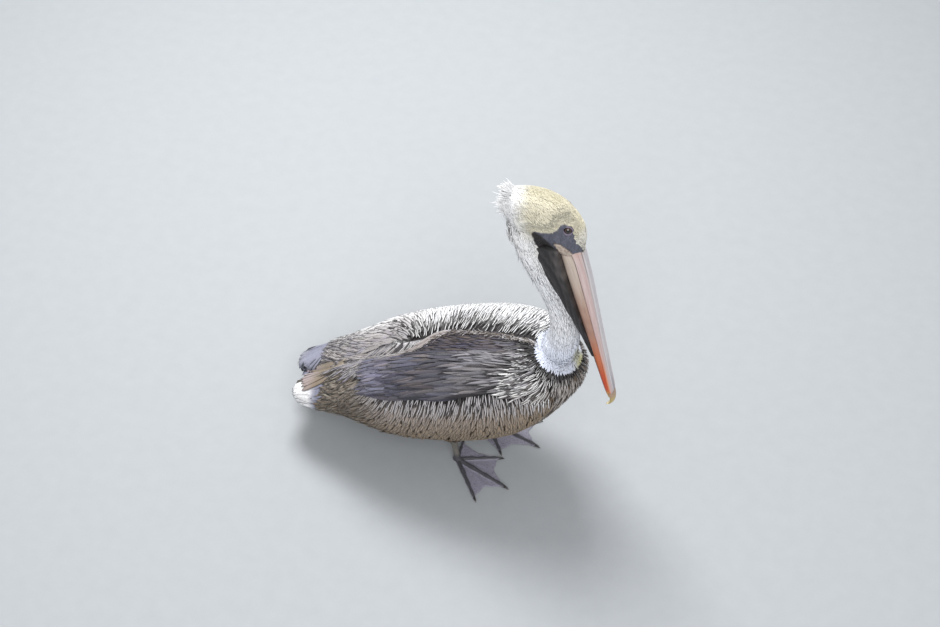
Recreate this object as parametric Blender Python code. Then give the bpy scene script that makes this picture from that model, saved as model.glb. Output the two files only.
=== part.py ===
"""A brown pelican at rest on both feet, its bill laid down along its foreneck.

Every part a person would name is a solid of its own, parted from its neighbours by a thin gap.
Metres, +Z up. The bird faces +X, its left side is +Y, and its soles lie in the plane z = 0.
Sizes are given in millimetres and lengths along the bird run forward from the ankles.
"""

import math

import bmesh
import bpy
from mathutils import Vector

MM = 0.001
GAP = 0.3  # between two touching parts

# Trunk and tail under the folded wings. Each row is a section across the back line:
# place along the bird, height of its centre, tilt of the back in degrees, half width, rise to the
# back, drop to the belly.
TRUNK = (
    (173, 238, 40, 10, 9, 9),
    (165, 232, 37, 38, 29, 26),
    (147, 221, 33, 64, 48, 38),
    (122, 209, 30, 82, 66, 55),
    (88, 192, 26, 96, 80, 75),
    (45, 174, 23, 103, 87, 85),
    (0, 156, 21, 104, 89, 87),
    (-50, 138, 19, 101, 85, 83),
    (-100, 121, 18, 94, 75, 74),
    (-145, 106, 18, 83, 59, 59),
    (-182, 93, 18, 70, 41, 44),
    (-208, 84, 17, 60, 27, 30),
)
TAIL = (
    (-208, 84, 17, 60, 27, 30),
    (-226, 78, 15, 60, 15, 19),
    (-250, 71, 14, 62, 8, 10),
    (-274, 64, 13, 57, 4, 4),
    (-286, 60, 13, 40, 2, 2),
)
# What a folded wing lies on behind the rump: just clear of the tail.
WING_BED = (
    (-208, 84, 17, 60, 27, 30),
    (-226, 78, 15, 62, 17, 20),
    (-250, 71, 14, 63, 10.5, 12),
    (-274, 64, 13, 60, 8, 7),
    (-310, 55, 13, 54, 7, 5),
)
BODY_POWER = 2.1  # 2 is an ellipse, more is squarer
TRUNK_ROUND = 32
TRUNK_STATIONS = 15
BREAST_STATIONS = (173, 170, 165, 157)  # closer together, where the breast turns in
TAIL_STATIONS = 6

# Each folded wing is a blanket on the trunk. Rows: place along the bird, angle of the lower edge and
# of the upper edge round the trunk from level, and how thick the blanket is.
WING = (
    (150, 2, 22, 3),
    (142, -14, 36, 9),
    (127, -26, 50, 12),
    (88, -33, 62, 13),
    (0, -33, 70, 13),
    (-100, -28, 74, 17),
    (-182, -15, 80, 21),
    (-230, -4, 84, 19),
    (-262, 20, 84, 13),
    (-286, 44, 76, 4),
)
WING_LONGER = {"left": 16, "right": 0}  # how much further back each wing tip lies
WING_STATIONS = 18
WRIST_STATIONS = (150, 142, 135)  # closer together, where the wrist rounds off
WING_ACROSS = 9
WING_EDGE = 2.2  # how thick the blanket is along its edges
WING_LIFT = 1.0  # clear of the trunk, whose flat faces it crosses at other places
WING_FULLNESS = 0.45  # nearer 0, the blanket keeps its thickness closer to its edges

# Neck, from inside the breast up into the head: place, height, direction of the neck above level in
# degrees, half depth, half width.
NECK = (
    (126, 226, 66, 36, 46),
    (136, 258, 78, 30, 36),
    (141, 292, 92, 23, 27),
    (137, 326, 105, 19, 21.5),
    (128, 358, 113, 18, 20),
    (111, 394, 117, 18, 19.5),
    (94, 428, 113, 20, 20),
    (88, 456, 107, 26, 21.5),
    (89, 482, 98, 34, 23),
    (90, 505, 92, 36, 22),
)
NECK_CUTS = (3, 6)  # the rows where its three lengths part
NECK_ROUND = 16

# Head, from the back of the crown forward and down into the root of the bill: place, height, how
# far the line points below level, rise to the crown, drop to the throat, half width.
HEAD = (
    (42, 524, -4, 10, 9, 8),
    (50, 522, -2, 24, 22, 17),
    (70, 517, 4, 38, 33, 25),
    (95, 511, 14, 45, 36, 29),
    (118, 501, 30, 44, 36, 28),
    (136, 485, 50, 35, 33, 24),
    (146, 467, 66, 22, 26, 19),
    (150, 452, 74, 12, 18, 13),
)
HEAD_ROUND = 20
EYE_PLACE = (141.5, 13.6, 508.5)
EYE_RADIUS = 8.0

# Crest of loose feathers behind the crown.
CREST = (
    (58, 534, -6, 12, 13, 14),
    (44, 536, -6, 9, 12, 10),
    (34, 539, -12, 5, 7, 6),
    (24, 543, -20, 1.5, 1.5, 2),
)
CREST_ROUND = 12

# Bill: place and height of the line where the two halves meet, at the root and at the tip, and how
# far that line bows forward. Rows along it: share of the length, half width, rise to the ridge of
# the upper half, drop to the edge of the lower half.
BILL_ROOT = (142, 480)
BILL_TIP = (221, 171)
BILL_BOW = 0.5
BILL = (
    (0.00, 17, 16, 18),
    (0.10, 17, 16.5, 20),
    (0.25, 16, 16, 19),
    (0.45, 14.5, 13, 16),
    (0.65, 13.5, 10, 12),
    (0.82, 13, 8, 8.5),
    (0.93, 11.5, 7, 6),
    (1.00, 7, 5.5, 3),
)
LOWER_BILL_ENDS = 0.965
LOWER_BILL_INSET = 1.2  # narrower than the upper half on each side
BILL_SIDES, BILL_ARCH = 0.75, 0.8  # less than 1 gives steep sides and a flat ridge
BILL_ACROSS = 14
# Hooked nail at the tip. Rows: share of the bill's length, half width, height, drop of the hook.
NAIL = (
    (0.93, 11.0, 7.2, 0),
    (0.965, 9.6, 7.0, 0),
    (0.99, 8.0, 6.4, 1.5),
    (1.01, 6.0, 5.4, 5.0),
    (1.025, 3.2, 3.6, 9.0),
    (1.03, 1.0, 1.6, 12.5),
)

# Pouch, folded up behind the lower half: share of the bill's length, how deep it hangs, half width.
POUCH = (
    (0.01, 47, 22),
    (0.12, 38, 23),
    (0.25, 28, 22),
    (0.40, 17, 19),
    (0.55, 9, 13),
    (0.70, 3.5, 8),
)
POUCH_ROOT = 3  # how far it starts up inside the edge of the lower half
POUCH_STATIONS = 8
POUCH_ROUND = 12
POUCH_POWER = 2.3

# Legs and feet.
ANKLE = {"right": (-11, -45), "left": (11, 45)}
FOOT_TURN = {"right": -20, "left": -16}  # where the middle toe points, round from forward
SHANK_LEAN = 9  # degrees back from upright
# Rows up each leg: height, half width, half depth.
HEEL = ((-3, 5, 6), (3, 6.2, 7.2), (8, 5.6, 6.4), (11.2, 4.6, 5.2))
SHANK = ((11.5, 4.6, 5.2), (18, 4.0, 5.0), (30, 3.8, 5.2), (42, 4.2, 6.0), (51.7, 5.2, 7.2))
THIGH = ((52, 8, 10), (56, 12, 15), (64, 17, 21), (76, 20, 26), (98, 20, 26))
TOES = (  # name, length, angle inwards from the middle toe, width, height
    ("hallux", 37, 112, 7, 7),
    ("inner", 66, 39, 8, 8),
    ("middle", 92, 0, 8.5, 9),
    ("outer", 82, -34, 8, 8),
)
# Along a toe: share of its length, and its swelling at the joints. It tapers by TOE_TAPER as well.
TOE_SWELL = ((0, 1), (0.34, 1.05), (0.5, 0.9), (0.66, 1.1), (0.82, 0.9), (1, 0.85))
TOE_TAPER = 0.3
CLAW_LONG = 9.0
# Along a claw: share of its length, half width as a share of the toe's, height of its middle.
CLAW = ((0, 0.52, 2.0), (0.35, 0.44, 2.1), (0.7, 0.28, 1.5), (1, 0.08, 0.4))
WEB_SCALLOP = 0.16  # how far a free edge is drawn in towards the heel, as a share
WEB_STEPS = 6
WEB_FROM, WEB_TO = 0.7, 2.7  # heights of its under side and upper side
WEB_SHORT = 3  # it ends this far behind each toe's tip
LEFT, AHEAD, UP = Vector((0, 1, 0)), Vector((1, 0, 0)), Vector((0, 0, 1))
NECK_ROWS = [(i, *row) for i, row in enumerate(NECK)]
HEAD_ROWS = [(i, *row) for i, row in enumerate(HEAD)]


def curve_between(rows, at):
    """The row at place `at`, on a smooth curve through the rows (their first value is the place)."""
    flip = 1 if rows[-1][0] > rows[0][0] else -1
    last = len(rows) - 1
    i = 0
    while i < last - 1 and flip * rows[i + 1][0] < flip * at:
        i += 1
    before, here, there, after = (rows[max(0, min(last, k))] for k in (i - 1, i, i + 1, i + 2))
    span = there[0] - here[0]
    t = (at - here[0]) / span
    out = []
    for a, b, c, d in zip(before[1:], here[1:], there[1:], after[1:]):
        leave = (c - a) / (there[0] - before[0]) * span
        arrive = (d - b) / (after[0] - here[0]) * span
        out.append(
            (2 * t**3 - 3 * t**2 + 1) * b
            + (t**3 - 2 * t**2 + t) * leave
            + (3 * t**2 - 2 * t**3) * c
            + (t**3 - t**2) * arrive
        )
    return out


def steps(first, last, count):
    """`count` evenly spaced values from first to last."""
    return [first + (last - first) * i / (count - 1) for i in range(count)]


def oval(centre, side, up, half_width, above, below, angle, power=2.0):
    """A point of an oval section, `angle` degrees round from its side towards its top."""
    c = math.cos(math.radians(angle))
    s = math.sin(math.radians(angle))
    across = math.copysign(abs(c) ** (2 / power), c) * half_width
    rise = math.copysign(abs(s) ** (2 / power), s) * (above if s > 0 else below)
    return Vector(centre) + Vector(side) * across + Vector(up) * rise


def ring(centre, side, up, half_width, above, below, count, power=2.0):
    """A whole oval section of `count` points."""
    return [
        oval(centre, side, up, half_width, above, below, 360 * i / count, power) for i in range(count)
    ]


def body(name, points, faces, collection):
    """A mesh object in millimetre points, with its faces turned outwards and shaded smooth."""
    mesh = bpy.data.meshes.new(name)
    mesh.from_pydata([tuple(p * MM) for p in points], [], faces)
    work = bmesh.new()
    work.from_mesh(mesh)
    bmesh.ops.triangulate(work, faces=work.faces, quad_method="FIXED")
    bmesh.ops.recalc_face_normals(work, faces=work.faces)
    work.to_mesh(mesh)
    work.free()
    mesh.shade_smooth()
    obj = bpy.data.objects.new(name, mesh)
    collection.objects.link(obj)
    return obj


def loft(name, rings, collection):
    """A closed body through rings of the same number of points, with a flat cap at each end."""
    count = len(rings[0])
    points = [point for loop in rings for point in loop]
    faces = []
    for i in range(len(rings) - 1):
        for j in range(count):
            k = (j + 1) % count
            faces.append((i * count + j, i * count + k, (i + 1) * count + k, (i + 1) * count + j))
    faces.append(tuple(range(count)))
    faces.append(tuple(range((len(rings) - 1) * count, len(rings) * count)))
    return body(name, points, faces, collection)


def boolean(obj, other, operation):
    """Cuts `other` from obj, or joins it on, with Blender's exact Boolean."""
    modifier = obj.modifiers.new(operation.title() + " " + other.name, "BOOLEAN")
    modifier.operation = operation
    modifier.solver = "EXACT"
    modifier.object = other


def tilted(tilt):
    """The direction square to a line that rises `tilt` degrees forwards, in the bird's own plane."""
    return (-math.sin(math.radians(tilt)), 0, math.cos(math.radians(tilt)))


def trunk_row(at, behind):
    """The trunk's section at a place along the bird, or one from the rows for behind the rump."""
    return curve_between(TRUNK if at >= TRUNK[-1][0] else behind, at)


def trunk_ring(at, grow=0.0, shift=0.0):
    """A section of trunk or tail, `grow` larger all round and moved `shift` along the bird."""
    z, tilt, wide, above, below = trunk_row(at, TAIL)
    centre = (at + shift, 0, z)
    return ring(
        centre, LEFT, tilted(tilt), wide + grow, above + grow, below + grow, TRUNK_ROUND, BODY_POWER
    )


def make_trunk(name, collection, grow=0.0):
    places = [*BREAST_STATIONS, *steps(TRUNK[2][0], TRUNK[-1][0], TRUNK_STATIONS)]
    shifts = [grow] + [0] * (len(places) - 2) + [-grow]
    return loft(name, [trunk_ring(at, grow, shift) for at, shift in zip(places, shifts)], collection)


def make_tail(name, collection):
    places = steps(TAIL[0][0] - GAP, TAIL[-1][0], TAIL_STATIONS + 1)
    return loft(name, [trunk_ring(at) for at in places], collection)


def make_wing(name, side, collection):
    """A blanket on the trunk from the wrist to the wing's tip: thick in the middle, thin at its edges."""
    flip = 1 if side == "left" else -1
    places = [*WRIST_STATIONS, *steps(WING[2][0], WING[-1][0], WING_STATIONS)]
    rings = []
    for place in places:
        low, high, thick = curve_between(WING, place)
        at = place - WING_LONGER[side] * max(0, place / WING[-1][0]) ** 2
        z, tilt, wide, above, below = trunk_row(at, WING_BED)
        outer, inner = [], []
        for i in range(WING_ACROSS):
            share = i / (WING_ACROSS - 1)
            angle = low + (high - low) * share
            swell = math.sin(math.pi * share) ** WING_FULLNESS
            edge = min(WING_EDGE, thick)
            rise = WING_LIFT + edge + (thick - edge) * swell
            for face, lift in ((outer, rise), (inner, WING_LIFT)):
                point = oval(
                    (at, 0, z), LEFT, tilted(tilt), wide + lift, above + lift, below + lift, angle,
                    BODY_POWER,
                )
                face.append(Vector((point.x, point.y * flip, point.z)))
        rings.append(outer + inner[::-1])
    return loft(name, rings, collection)


def line_ring(row, count, grow=0.0, slide=0.0):
    """A section of the neck: square to a line that points `way` degrees above level, slid along it."""
    x, z, way, depth, wide = row
    along = Vector((math.cos(math.radians(way)), 0, math.sin(math.radians(way))))
    back = Vector((-along.z, 0, along.x))
    centre = Vector((x, 0, z)) + along * slide
    return ring(centre, LEFT, back, wide + grow, depth + grow, depth + grow, count)


def make_neck(name, first, last, collection, grow=0.0):
    """One length of the neck between two of its rows, its ends drawn in by half a gap."""
    rings = []
    for i in range(first, last):
        for share in (0, 0.5):
            row = curve_between(NECK_ROWS, i + share)
            slide = GAP / 2 if (i == first and share == 0) else 0
            rings.append(line_ring(row, NECK_ROUND, grow, slide))
    rings.append(line_ring(curve_between(NECK_ROWS, last), NECK_ROUND, grow, -GAP / 2))
    return loft(name, rings, collection)


def make_head(name, collection, grow=0.0):
    """Crown, cheeks and throat, around a line that turns down into the bill."""
    rings = []
    for i in range(2 * (len(HEAD) - 1) + 1):
        x, z, down, above, below, wide = curve_between(HEAD_ROWS, i / 2)
        end = {0: -grow, 2 * (len(HEAD) - 1): grow}.get(i, 0)
        ahead = Vector((math.cos(math.radians(down)), 0, -math.sin(math.radians(down))))
        centre = Vector((x, 0, z)) + ahead * end
        rings.append(
            ring(centre, LEFT, tilted(-down), wide + grow, above + grow, below + grow, HEAD_ROUND)
        )
    return loft(name, rings, collection)


def ball(name, centre, radius, collection):
    """A round ball of the bmesh kind, for an eye or its socket."""
    mesh = bpy.data.meshes.new(name)
    work = bmesh.new()
    bmesh.ops.create_uvsphere(work, u_segments=12, v_segments=8, radius=radius * MM)
    work.to_mesh(mesh)
    work.free()
    mesh.shade_smooth()
    obj = bpy.data.objects.new(name, mesh)
    obj.location = Vector(centre) * MM
    collection.objects.link(obj)
    return obj


def bill_frame(share):
    """A point of the line where the bill's halves meet, the way along it and the way to its ridge."""
    root, tip = Vector((BILL_ROOT[0], 0, BILL_ROOT[1])), Vector((BILL_TIP[0], 0, BILL_TIP[1]))
    along = (tip - root).normalized()
    ridge = Vector((-along.z, 0, along.x))
    bow = BILL_BOW * 4 * share * (1 - share)
    slope = BILL_BOW * 4 * (1 - 2 * share) / (tip - root).length
    return root + (tip - root) * share + ridge * bow, (along + ridge * slope).normalized()


def half_bill_ring(share, wide, tall, upper, grow=0.0, slide=0.0):
    """One half of the bill's section: flat at the line where the halves meet, arched away from it."""
    centre, along = bill_frame(share)
    ridge = Vector((-along.z, 0, along.x))
    lift = GAP / 2 - grow
    turn = 1 if upper else -1
    points = []
    for i in range(BILL_ACROSS):
        angle = math.radians(180 * i / (BILL_ACROSS - 1))
        across = math.copysign(abs(math.cos(angle)) ** BILL_SIDES, math.cos(angle)) * (wide + grow)
        rise = lift + abs(math.sin(angle)) ** BILL_ARCH * (tall + 2 * grow)
        points.append(centre + along * slide + LEFT * across + ridge * turn * rise)
    return points


def make_upper_bill(name, collection):
    """The upper half, from inside the face to where the nail begins."""
    rings = []
    for share in [row[0] for row in BILL if row[0] < NAIL[0][0]] + [NAIL[0][0]]:
        wide, ridge, _ = curve_between(BILL, share)
        slide = -GAP / 2 if share == NAIL[0][0] else 0
        rings.append(half_bill_ring(share, wide, ridge, True, 0, slide))
    return loft(name, rings, collection)


def make_lower_bill(name, collection, grow=0.0):
    """The lower half stops short of the tip, behind the hook."""
    rings = []
    for share in [row[0] for row in BILL if row[0] < LOWER_BILL_ENDS] + [LOWER_BILL_ENDS]:
        wide, _, edge = curve_between(BILL, share)
        rings.append(half_bill_ring(share, wide - LOWER_BILL_INSET, edge, False, grow))
    return loft(name, rings, collection)


def make_nail(name, collection):
    """The hooked nail: it rounds the tip of the upper half and turns down over the lower one."""
    rings = []
    for share, wide, tall, drop in NAIL:
        centre, along = bill_frame(share)
        ridge = Vector((-along.z, 0, along.x))
        centre += along * (GAP / 2 if share == NAIL[0][0] else 0) - ridge * drop
        loop = []
        for angle in steps(0, 180, BILL_ACROSS):
            across, rise = math.cos(math.radians(angle)), abs(math.sin(math.radians(angle)))
            loop.append(centre + LEFT * across * wide + ridge * (GAP / 2 + rise**BILL_ARCH * tall))
        rings.append(loop)
    return loft(name, rings, collection)


def make_pouch(name, collection):
    """A fold of skin under the lower half, deepest at the throat and gone before the bill's tip."""
    rings = []
    for share in steps(POUCH[0][0], POUCH[-1][0], POUCH_STATIONS):
        deep, wide = curve_between(POUCH, share)
        _, _, edge = curve_between(BILL, share)
        centre, along = bill_frame(share)
        ridge = Vector((-along.z, 0, along.x))
        start = centre - ridge * (edge - POUCH_ROOT)
        below = deep + POUCH_ROOT
        rings.append(ring(start, LEFT, ridge, wide, POUCH_ROOT, below, POUCH_ROUND, POUCH_POWER))
    return loft(name, rings, collection)


def make_crest(name, collection):
    """A wedge for the loose feathers behind the crown."""
    rings = []
    for x, z, down, above, below, wide in CREST:
        rings.append(ring((x, 0, z), LEFT, tilted(-down), wide, above, below, CREST_ROUND))
    return loft(name, rings, collection)


def on_floor(point):
    """Keeps a point of a foot from going under the soles' plane."""
    return Vector((point.x, point.y, max(0.0, point.z)))


def toe_way(side, inwards):
    """The way a toe points on the floor, and the way square to it."""
    flip = 1 if side == "right" else -1
    angle = math.radians(FOOT_TURN[side] + flip * inwards)
    along = Vector((math.cos(angle), math.sin(angle), 0))
    return along, Vector((-along.y, along.x, 0))


def make_toe(name, side, toe, collection):
    """One toe, arched above, with a swelling at each joint; the floor is cut from it later."""
    _, length, inwards, wide, tall = toe
    along, across = toe_way(side, inwards)
    heel = Vector((*ANKLE[side], 0))
    rings = []
    for share, swell in TOE_SWELL:
        size = (1 - TOE_TAPER * share) * swell
        half, high = wide / 2 * size, tall * size
        centre = heel + along * length * share + UP * high * 0.35
        rings.append(ring(centre, across, UP, half, high * 0.65, high * 0.6, 8))
    return loft(name, rings, collection)


def web_outline(side):
    """The web from toe to toe, its free edges curved in between their tips."""
    heel = Vector((*ANKLE[side], 0))
    ways = [toe_way(side, inwards)[0] for _, _, inwards, _, _ in TOES]
    tips = [heel + way * (toe[1] - WEB_SHORT) for way, toe in zip(ways, TOES)]
    outline = []
    for here, there in zip(tips, tips[1:]):
        for share in steps(0, 1, WEB_STEPS)[:-1]:
            straight = here.lerp(there, share)
            outline.append(straight.lerp(heel, WEB_SCALLOP * 4 * share * (1 - share)))
    outline += [tips[-1], heel + ways[-1] * 6, heel + ways[0] * 4]
    return outline


def make_web(name, side, collection):
    outline = web_outline(side)
    sides = [[point + UP * height for point in outline] for height in (WEB_FROM, WEB_TO)]
    return loft(name, sides, collection)


def make_heel(name, side, collection):
    """The stub under the shank where the toes meet."""
    heel = Vector((*ANKLE[side], 0))
    along, across = toe_way(side, 0)
    rings = [ring(heel + UP * z, across, along, half, deep, deep, 10) for z, half, deep in HEEL]
    return loft(name, rings, collection)


def make_floor(name, collection):
    """A block below the soles' plane, to cut the feet flat."""
    mesh = bpy.data.meshes.new(name)
    work = bmesh.new()
    bmesh.ops.create_cube(work, size=1.0)
    bmesh.ops.scale(work, vec=(0.4, 0.4, 0.02), verts=work.verts)
    bmesh.ops.translate(work, vec=(0, 0, -0.01), verts=work.verts)
    work.to_mesh(mesh)
    work.free()
    obj = bpy.data.objects.new(name, mesh)
    collection.objects.link(obj)
    return obj


def make_foot(side, floor, collection, hidden):
    """Heel, four toes and web joined into one body, its soles cut flat."""
    foot = make_heel("foot_" + side, side, collection)
    for toe in TOES:
        boolean(foot, make_toe(f"toe_{toe[0]}_{side}", side, toe, hidden), "UNION")
    boolean(foot, make_web("web_" + side, side, hidden), "UNION")
    boolean(foot, floor, "DIFFERENCE")
    return foot


def make_claw(name, side, toe, collection):
    """A short claw, bent down at its tip, on the end of a toe."""
    _, length, inwards, wide, _ = toe
    along, across = toe_way(side, inwards)
    root = Vector((*ANKLE[side], 0)) + along * (length + GAP)
    rings = []
    for share, size, rise in CLAW:
        half = wide / 2 * size
        centre = root + along * CLAW_LONG * share + UP * rise
        rings.append([on_floor(point) for point in ring(centre, across, UP, half, half, half, 6)])
    return loft(name, rings, collection)


def shank_at(side, z):
    """The middle of a leg at a height: it leans back as it rises."""
    x, y = ANKLE[side]
    return Vector((x - (z - SHANK[0][0]) * math.tan(math.radians(SHANK_LEAN)), y, z))


def make_shank(name, side, collection):
    """The bare shank: oval, and thicker at both ends."""
    rings = [ring(shank_at(side, z), LEFT, AHEAD, half, deep, deep, 12) for z, half, deep in SHANK]
    return loft(name, rings, collection)


def make_thigh(name, side, collection):
    """The feathered thigh where it shows below the belly."""
    knee = shank_at(side, THIGH[0][0])
    rings = []
    for z, half, deep in THIGH:
        rings.append(ring((knee.x, knee.y, z), LEFT, AHEAD, half, deep, deep, 16))
    return loft(name, rings, collection)


def give_material(obj, name, colour, roughness):
    """A plain surface of its own for one part."""
    material = bpy.data.materials.new(name)
    material.use_nodes = True
    surface = material.node_tree.nodes["Principled BSDF"]
    surface.inputs["Base Color"].default_value = (*colour, 1)
    surface.inputs["Roughness"].default_value = roughness
    obj.data.materials.append(material)


def middle_of(collection):
    """The middle of the whole bird, brought down to the floor."""
    graph = bpy.context.evaluated_depsgraph_get()
    corners = []
    for obj in collection.objects:
        seen = obj.evaluated_get(graph)
        corners += [seen.matrix_world @ Vector(corner) for corner in seen.bound_box]
    ends = [(min(c[i] for c in corners) + max(c[i] for c in corners)) / 2 for i in (0, 1)]
    return Vector((*ends, 0))


def clear_scene():
    for obj in list(bpy.data.objects):
        bpy.data.objects.remove(obj)


def new_collection(name):
    collection = bpy.data.collections.new(name)
    bpy.context.scene.collection.children.link(collection)
    return collection


def build():
    clear_scene()
    bird = new_collection("brown_pelican")
    hidden = new_collection("cutters")
    wide_trunk = make_trunk("trunk_room", hidden, GAP)
    wide_head = make_head("head_room", hidden, GAP)
    wide_lower = make_lower_bill("lower_bill_room", hidden, GAP)
    wide_neck = make_neck("neck_room", 0, len(NECK) - 1, hidden, GAP)

    trunk = make_trunk("trunk", bird)
    tail = make_tail("tail", bird)
    wings = [make_wing("wing_" + side, side, bird) for side in ("left", "right")]
    joints = (0, *NECK_CUTS, len(NECK) - 1)
    necks = [
        make_neck("neck_" + name, first, last, bird)
        for name, first, last in zip(("lower", "middle", "upper"), joints, joints[1:])
    ]
    boolean(necks[0], wide_trunk, "DIFFERENCE")
    boolean(necks[2], wide_head, "DIFFERENCE")
    for neck in necks:
        boolean(neck, wide_lower, "DIFFERENCE")
    head = make_head("head", bird)
    crest = make_crest("crest", bird)
    boolean(crest, wide_head, "DIFFERENCE")
    boolean(crest, wide_neck, "DIFFERENCE")
    eyes = []
    for side, flip in (("left", 1), ("right", -1)):
        centre = (EYE_PLACE[0], EYE_PLACE[1] * flip, EYE_PLACE[2])
        socket = ball("socket_" + side, centre, EYE_RADIUS + GAP, hidden)
        boolean(head, socket, "DIFFERENCE")
        eyes.append(ball("eye_" + side, centre, EYE_RADIUS, bird))

    upper = make_upper_bill("bill_upper", bird)
    nail = make_nail("bill_nail", bird)
    lower = make_lower_bill("bill_lower", bird)
    pouch = make_pouch("pouch", bird)
    for obj in (upper, lower, pouch):
        boolean(obj, wide_head, "DIFFERENCE")
    boolean(pouch, wide_lower, "DIFFERENCE")
    boolean(pouch, wide_neck, "DIFFERENCE")

    floor = make_floor("floor_block", hidden)
    feet, shanks, thighs, claws = [], [], [], []
    for side in ("left", "right"):
        feet.append(make_foot(side, floor, bird, hidden))
        shanks.append(make_shank("shank_" + side, side, bird))
        thigh = make_thigh("thigh_" + side, side, bird)
        boolean(thigh, wide_trunk, "DIFFERENCE")
        thighs.append(thigh)
        claws += [make_claw(f"claw_{toe[0]}_{side}", side, toe, bird) for toe in TOES]

    for objects, name, colour, roughness in (
        ([trunk, *thighs], "body feathers", (0.16, 0.12, 0.09), 0.9),
        ([tail], "tail feathers", (0.24, 0.24, 0.29), 0.75),
        (wings, "wing feathers", (0.31, 0.28, 0.27), 0.85),
        (necks, "neck feathers", (0.86, 0.85, 0.86), 0.9),
        ([head, crest], "crown feathers", (0.81, 0.76, 0.47), 0.9),
        (eyes, "eye", (0.05, 0.03, 0.02), 0.1),
        ([upper, lower], "bill horn", (0.58, 0.48, 0.46), 0.45),
        ([nail], "nail horn", (0.69, 0.53, 0.16), 0.4),
        ([pouch], "pouch skin", (0.03, 0.025, 0.025), 0.6),
        ([*feet, *shanks], "foot skin", (0.10, 0.11, 0.14), 0.6),
        (claws, "claw horn", (0.03, 0.03, 0.03), 0.4),
    ):
        for obj in objects:
            give_material(obj, name + " " + obj.name, colour, roughness)

    middle = middle_of(bird)
    for obj in (*bird.objects, *hidden.objects):
        obj.location -= middle
    for cutter in hidden.objects:
        cutter.hide_render = True
        cutter.display_type = "WIRE"
    hidden.hide_render = True


build()
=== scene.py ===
"""An adult brown pelican, standing: skin, plumage, bill, pouch, eyes and feet over the solids.

Points are numpy arrays in millimetres from between the ankles: x ahead, y to the bird's left, z up.
make_piece() turns them into metres in the frame's own axes, so every object sits at the origin.
"""

import math

import bmesh
import bpy
import numpy as np
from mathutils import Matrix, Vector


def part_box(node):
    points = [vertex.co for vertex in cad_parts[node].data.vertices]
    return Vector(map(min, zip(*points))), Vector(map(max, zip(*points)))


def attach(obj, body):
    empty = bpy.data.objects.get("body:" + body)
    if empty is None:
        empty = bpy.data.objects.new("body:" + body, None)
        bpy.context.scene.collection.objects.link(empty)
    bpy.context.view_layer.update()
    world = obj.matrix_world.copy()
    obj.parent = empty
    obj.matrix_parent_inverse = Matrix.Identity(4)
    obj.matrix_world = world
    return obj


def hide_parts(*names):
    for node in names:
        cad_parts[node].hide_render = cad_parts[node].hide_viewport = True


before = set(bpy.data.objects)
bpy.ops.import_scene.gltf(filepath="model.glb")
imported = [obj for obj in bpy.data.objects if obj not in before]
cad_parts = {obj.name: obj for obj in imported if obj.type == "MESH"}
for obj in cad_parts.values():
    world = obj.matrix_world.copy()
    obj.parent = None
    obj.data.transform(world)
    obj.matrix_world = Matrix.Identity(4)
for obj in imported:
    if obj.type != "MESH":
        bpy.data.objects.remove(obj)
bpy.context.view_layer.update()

MM = 0.001
EYE_PLACE = np.array((141.5, 13.6, 508.5))
EYE_BOX = np.array(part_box("eye_left"))
ANKLES = EYE_BOX.mean(0) / MM - EYE_PLACE
chance = np.random.default_rng(41)

# ---------------------------------------------------------------- shapes shared with the solids
# place, centre height, tilt in degrees, half width, rise to the back, drop to the belly
TRUNK = (
    (173, 238, 40, 10, 9, 9), (165, 232, 37, 38, 29, 26), (147, 221, 33, 64, 48, 38),
    (122, 209, 30, 82, 66, 55), (88, 192, 26, 96, 80, 75), (45, 174, 23, 103, 87, 85),
    (0, 156, 21, 104, 89, 87), (-50, 138, 19, 101, 85, 83), (-100, 121, 18, 94, 75, 74),
    (-145, 106, 18, 83, 59, 59), (-182, 93, 18, 70, 41, 44), (-208, 84, 17, 60, 27, 30),
    (-226, 78, 15, 62, 17, 20), (-250, 71, 14, 63, 10.5, 12), (-274, 64, 13, 60, 8, 7),
    (-310, 55, 13, 54, 7, 5),
)  # fmt: skip
BODY_POWER = 2.1
# place, angles of the wing's lower and upper edge round from level
WING = (
    (150, 2, 22), (142, -14, 36), (127, -26, 50), (88, -33, 62), (0, -33, 70), (-100, -28, 74),
    (-182, -15, 80), (-230, -4, 84), (-262, 20, 84), (-286, 44, 76),
)  # fmt: skip
# height, direction of the neck there in degrees above level, ahead
NECK_LINE = (
    (226, 66), (258, 78), (292, 92), (326, 105), (358, 113), (394, 117), (428, 113), (456, 107),
    (482, 98), (505, 92),
)  # fmt: skip
BILL_ROOT = np.array((142.0, 0, 480))
BILL_TIP = np.array((221.0, 0, 171))
BILL_BOW = 0.5
# share of the bill, half width, rise to the ridge, drop to the lower edge
BILL = (
    (0.00, 17, 16, 18),
    (0.10, 17, 16.5, 20),
    (0.25, 16, 16, 19),
    (0.45, 14.5, 13, 16),
    (0.65, 13.5, 10, 12),
    (0.82, 13, 8, 8.5),
    (0.93, 11.5, 7, 6),
    (1.00, 7, 5.5, 3),
)
BILL_SIDES, BILL_ARCH = 0.75, 0.8
# share of the bill, half width, height, drop of the hook
NAIL = (
    (0.93, 11.0, 7.2, 0),
    (0.965, 9.6, 7.0, 0),
    (0.99, 8.0, 6.4, 1.5),
    (1.01, 6.0, 5.4, 5.0),
    (1.025, 3.2, 3.6, 9.0),
    (1.03, 1.0, 1.6, 12.5),
)
# share of the bill, depth, half width
POUCH = (
    (0.01, 47, 22),
    (0.12, 38, 23),
    (0.25, 28, 22),
    (0.40, 17, 19),
    (0.55, 9, 13),
    (0.70, 3.5, 8),
)
ANKLE = {"right": np.array((-11.0, -45, 0)), "left": np.array((11.0, 45, 0))}
FOOT_TURN = {"right": -20, "left": -16}
SHANK_LEAN = 9
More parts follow.
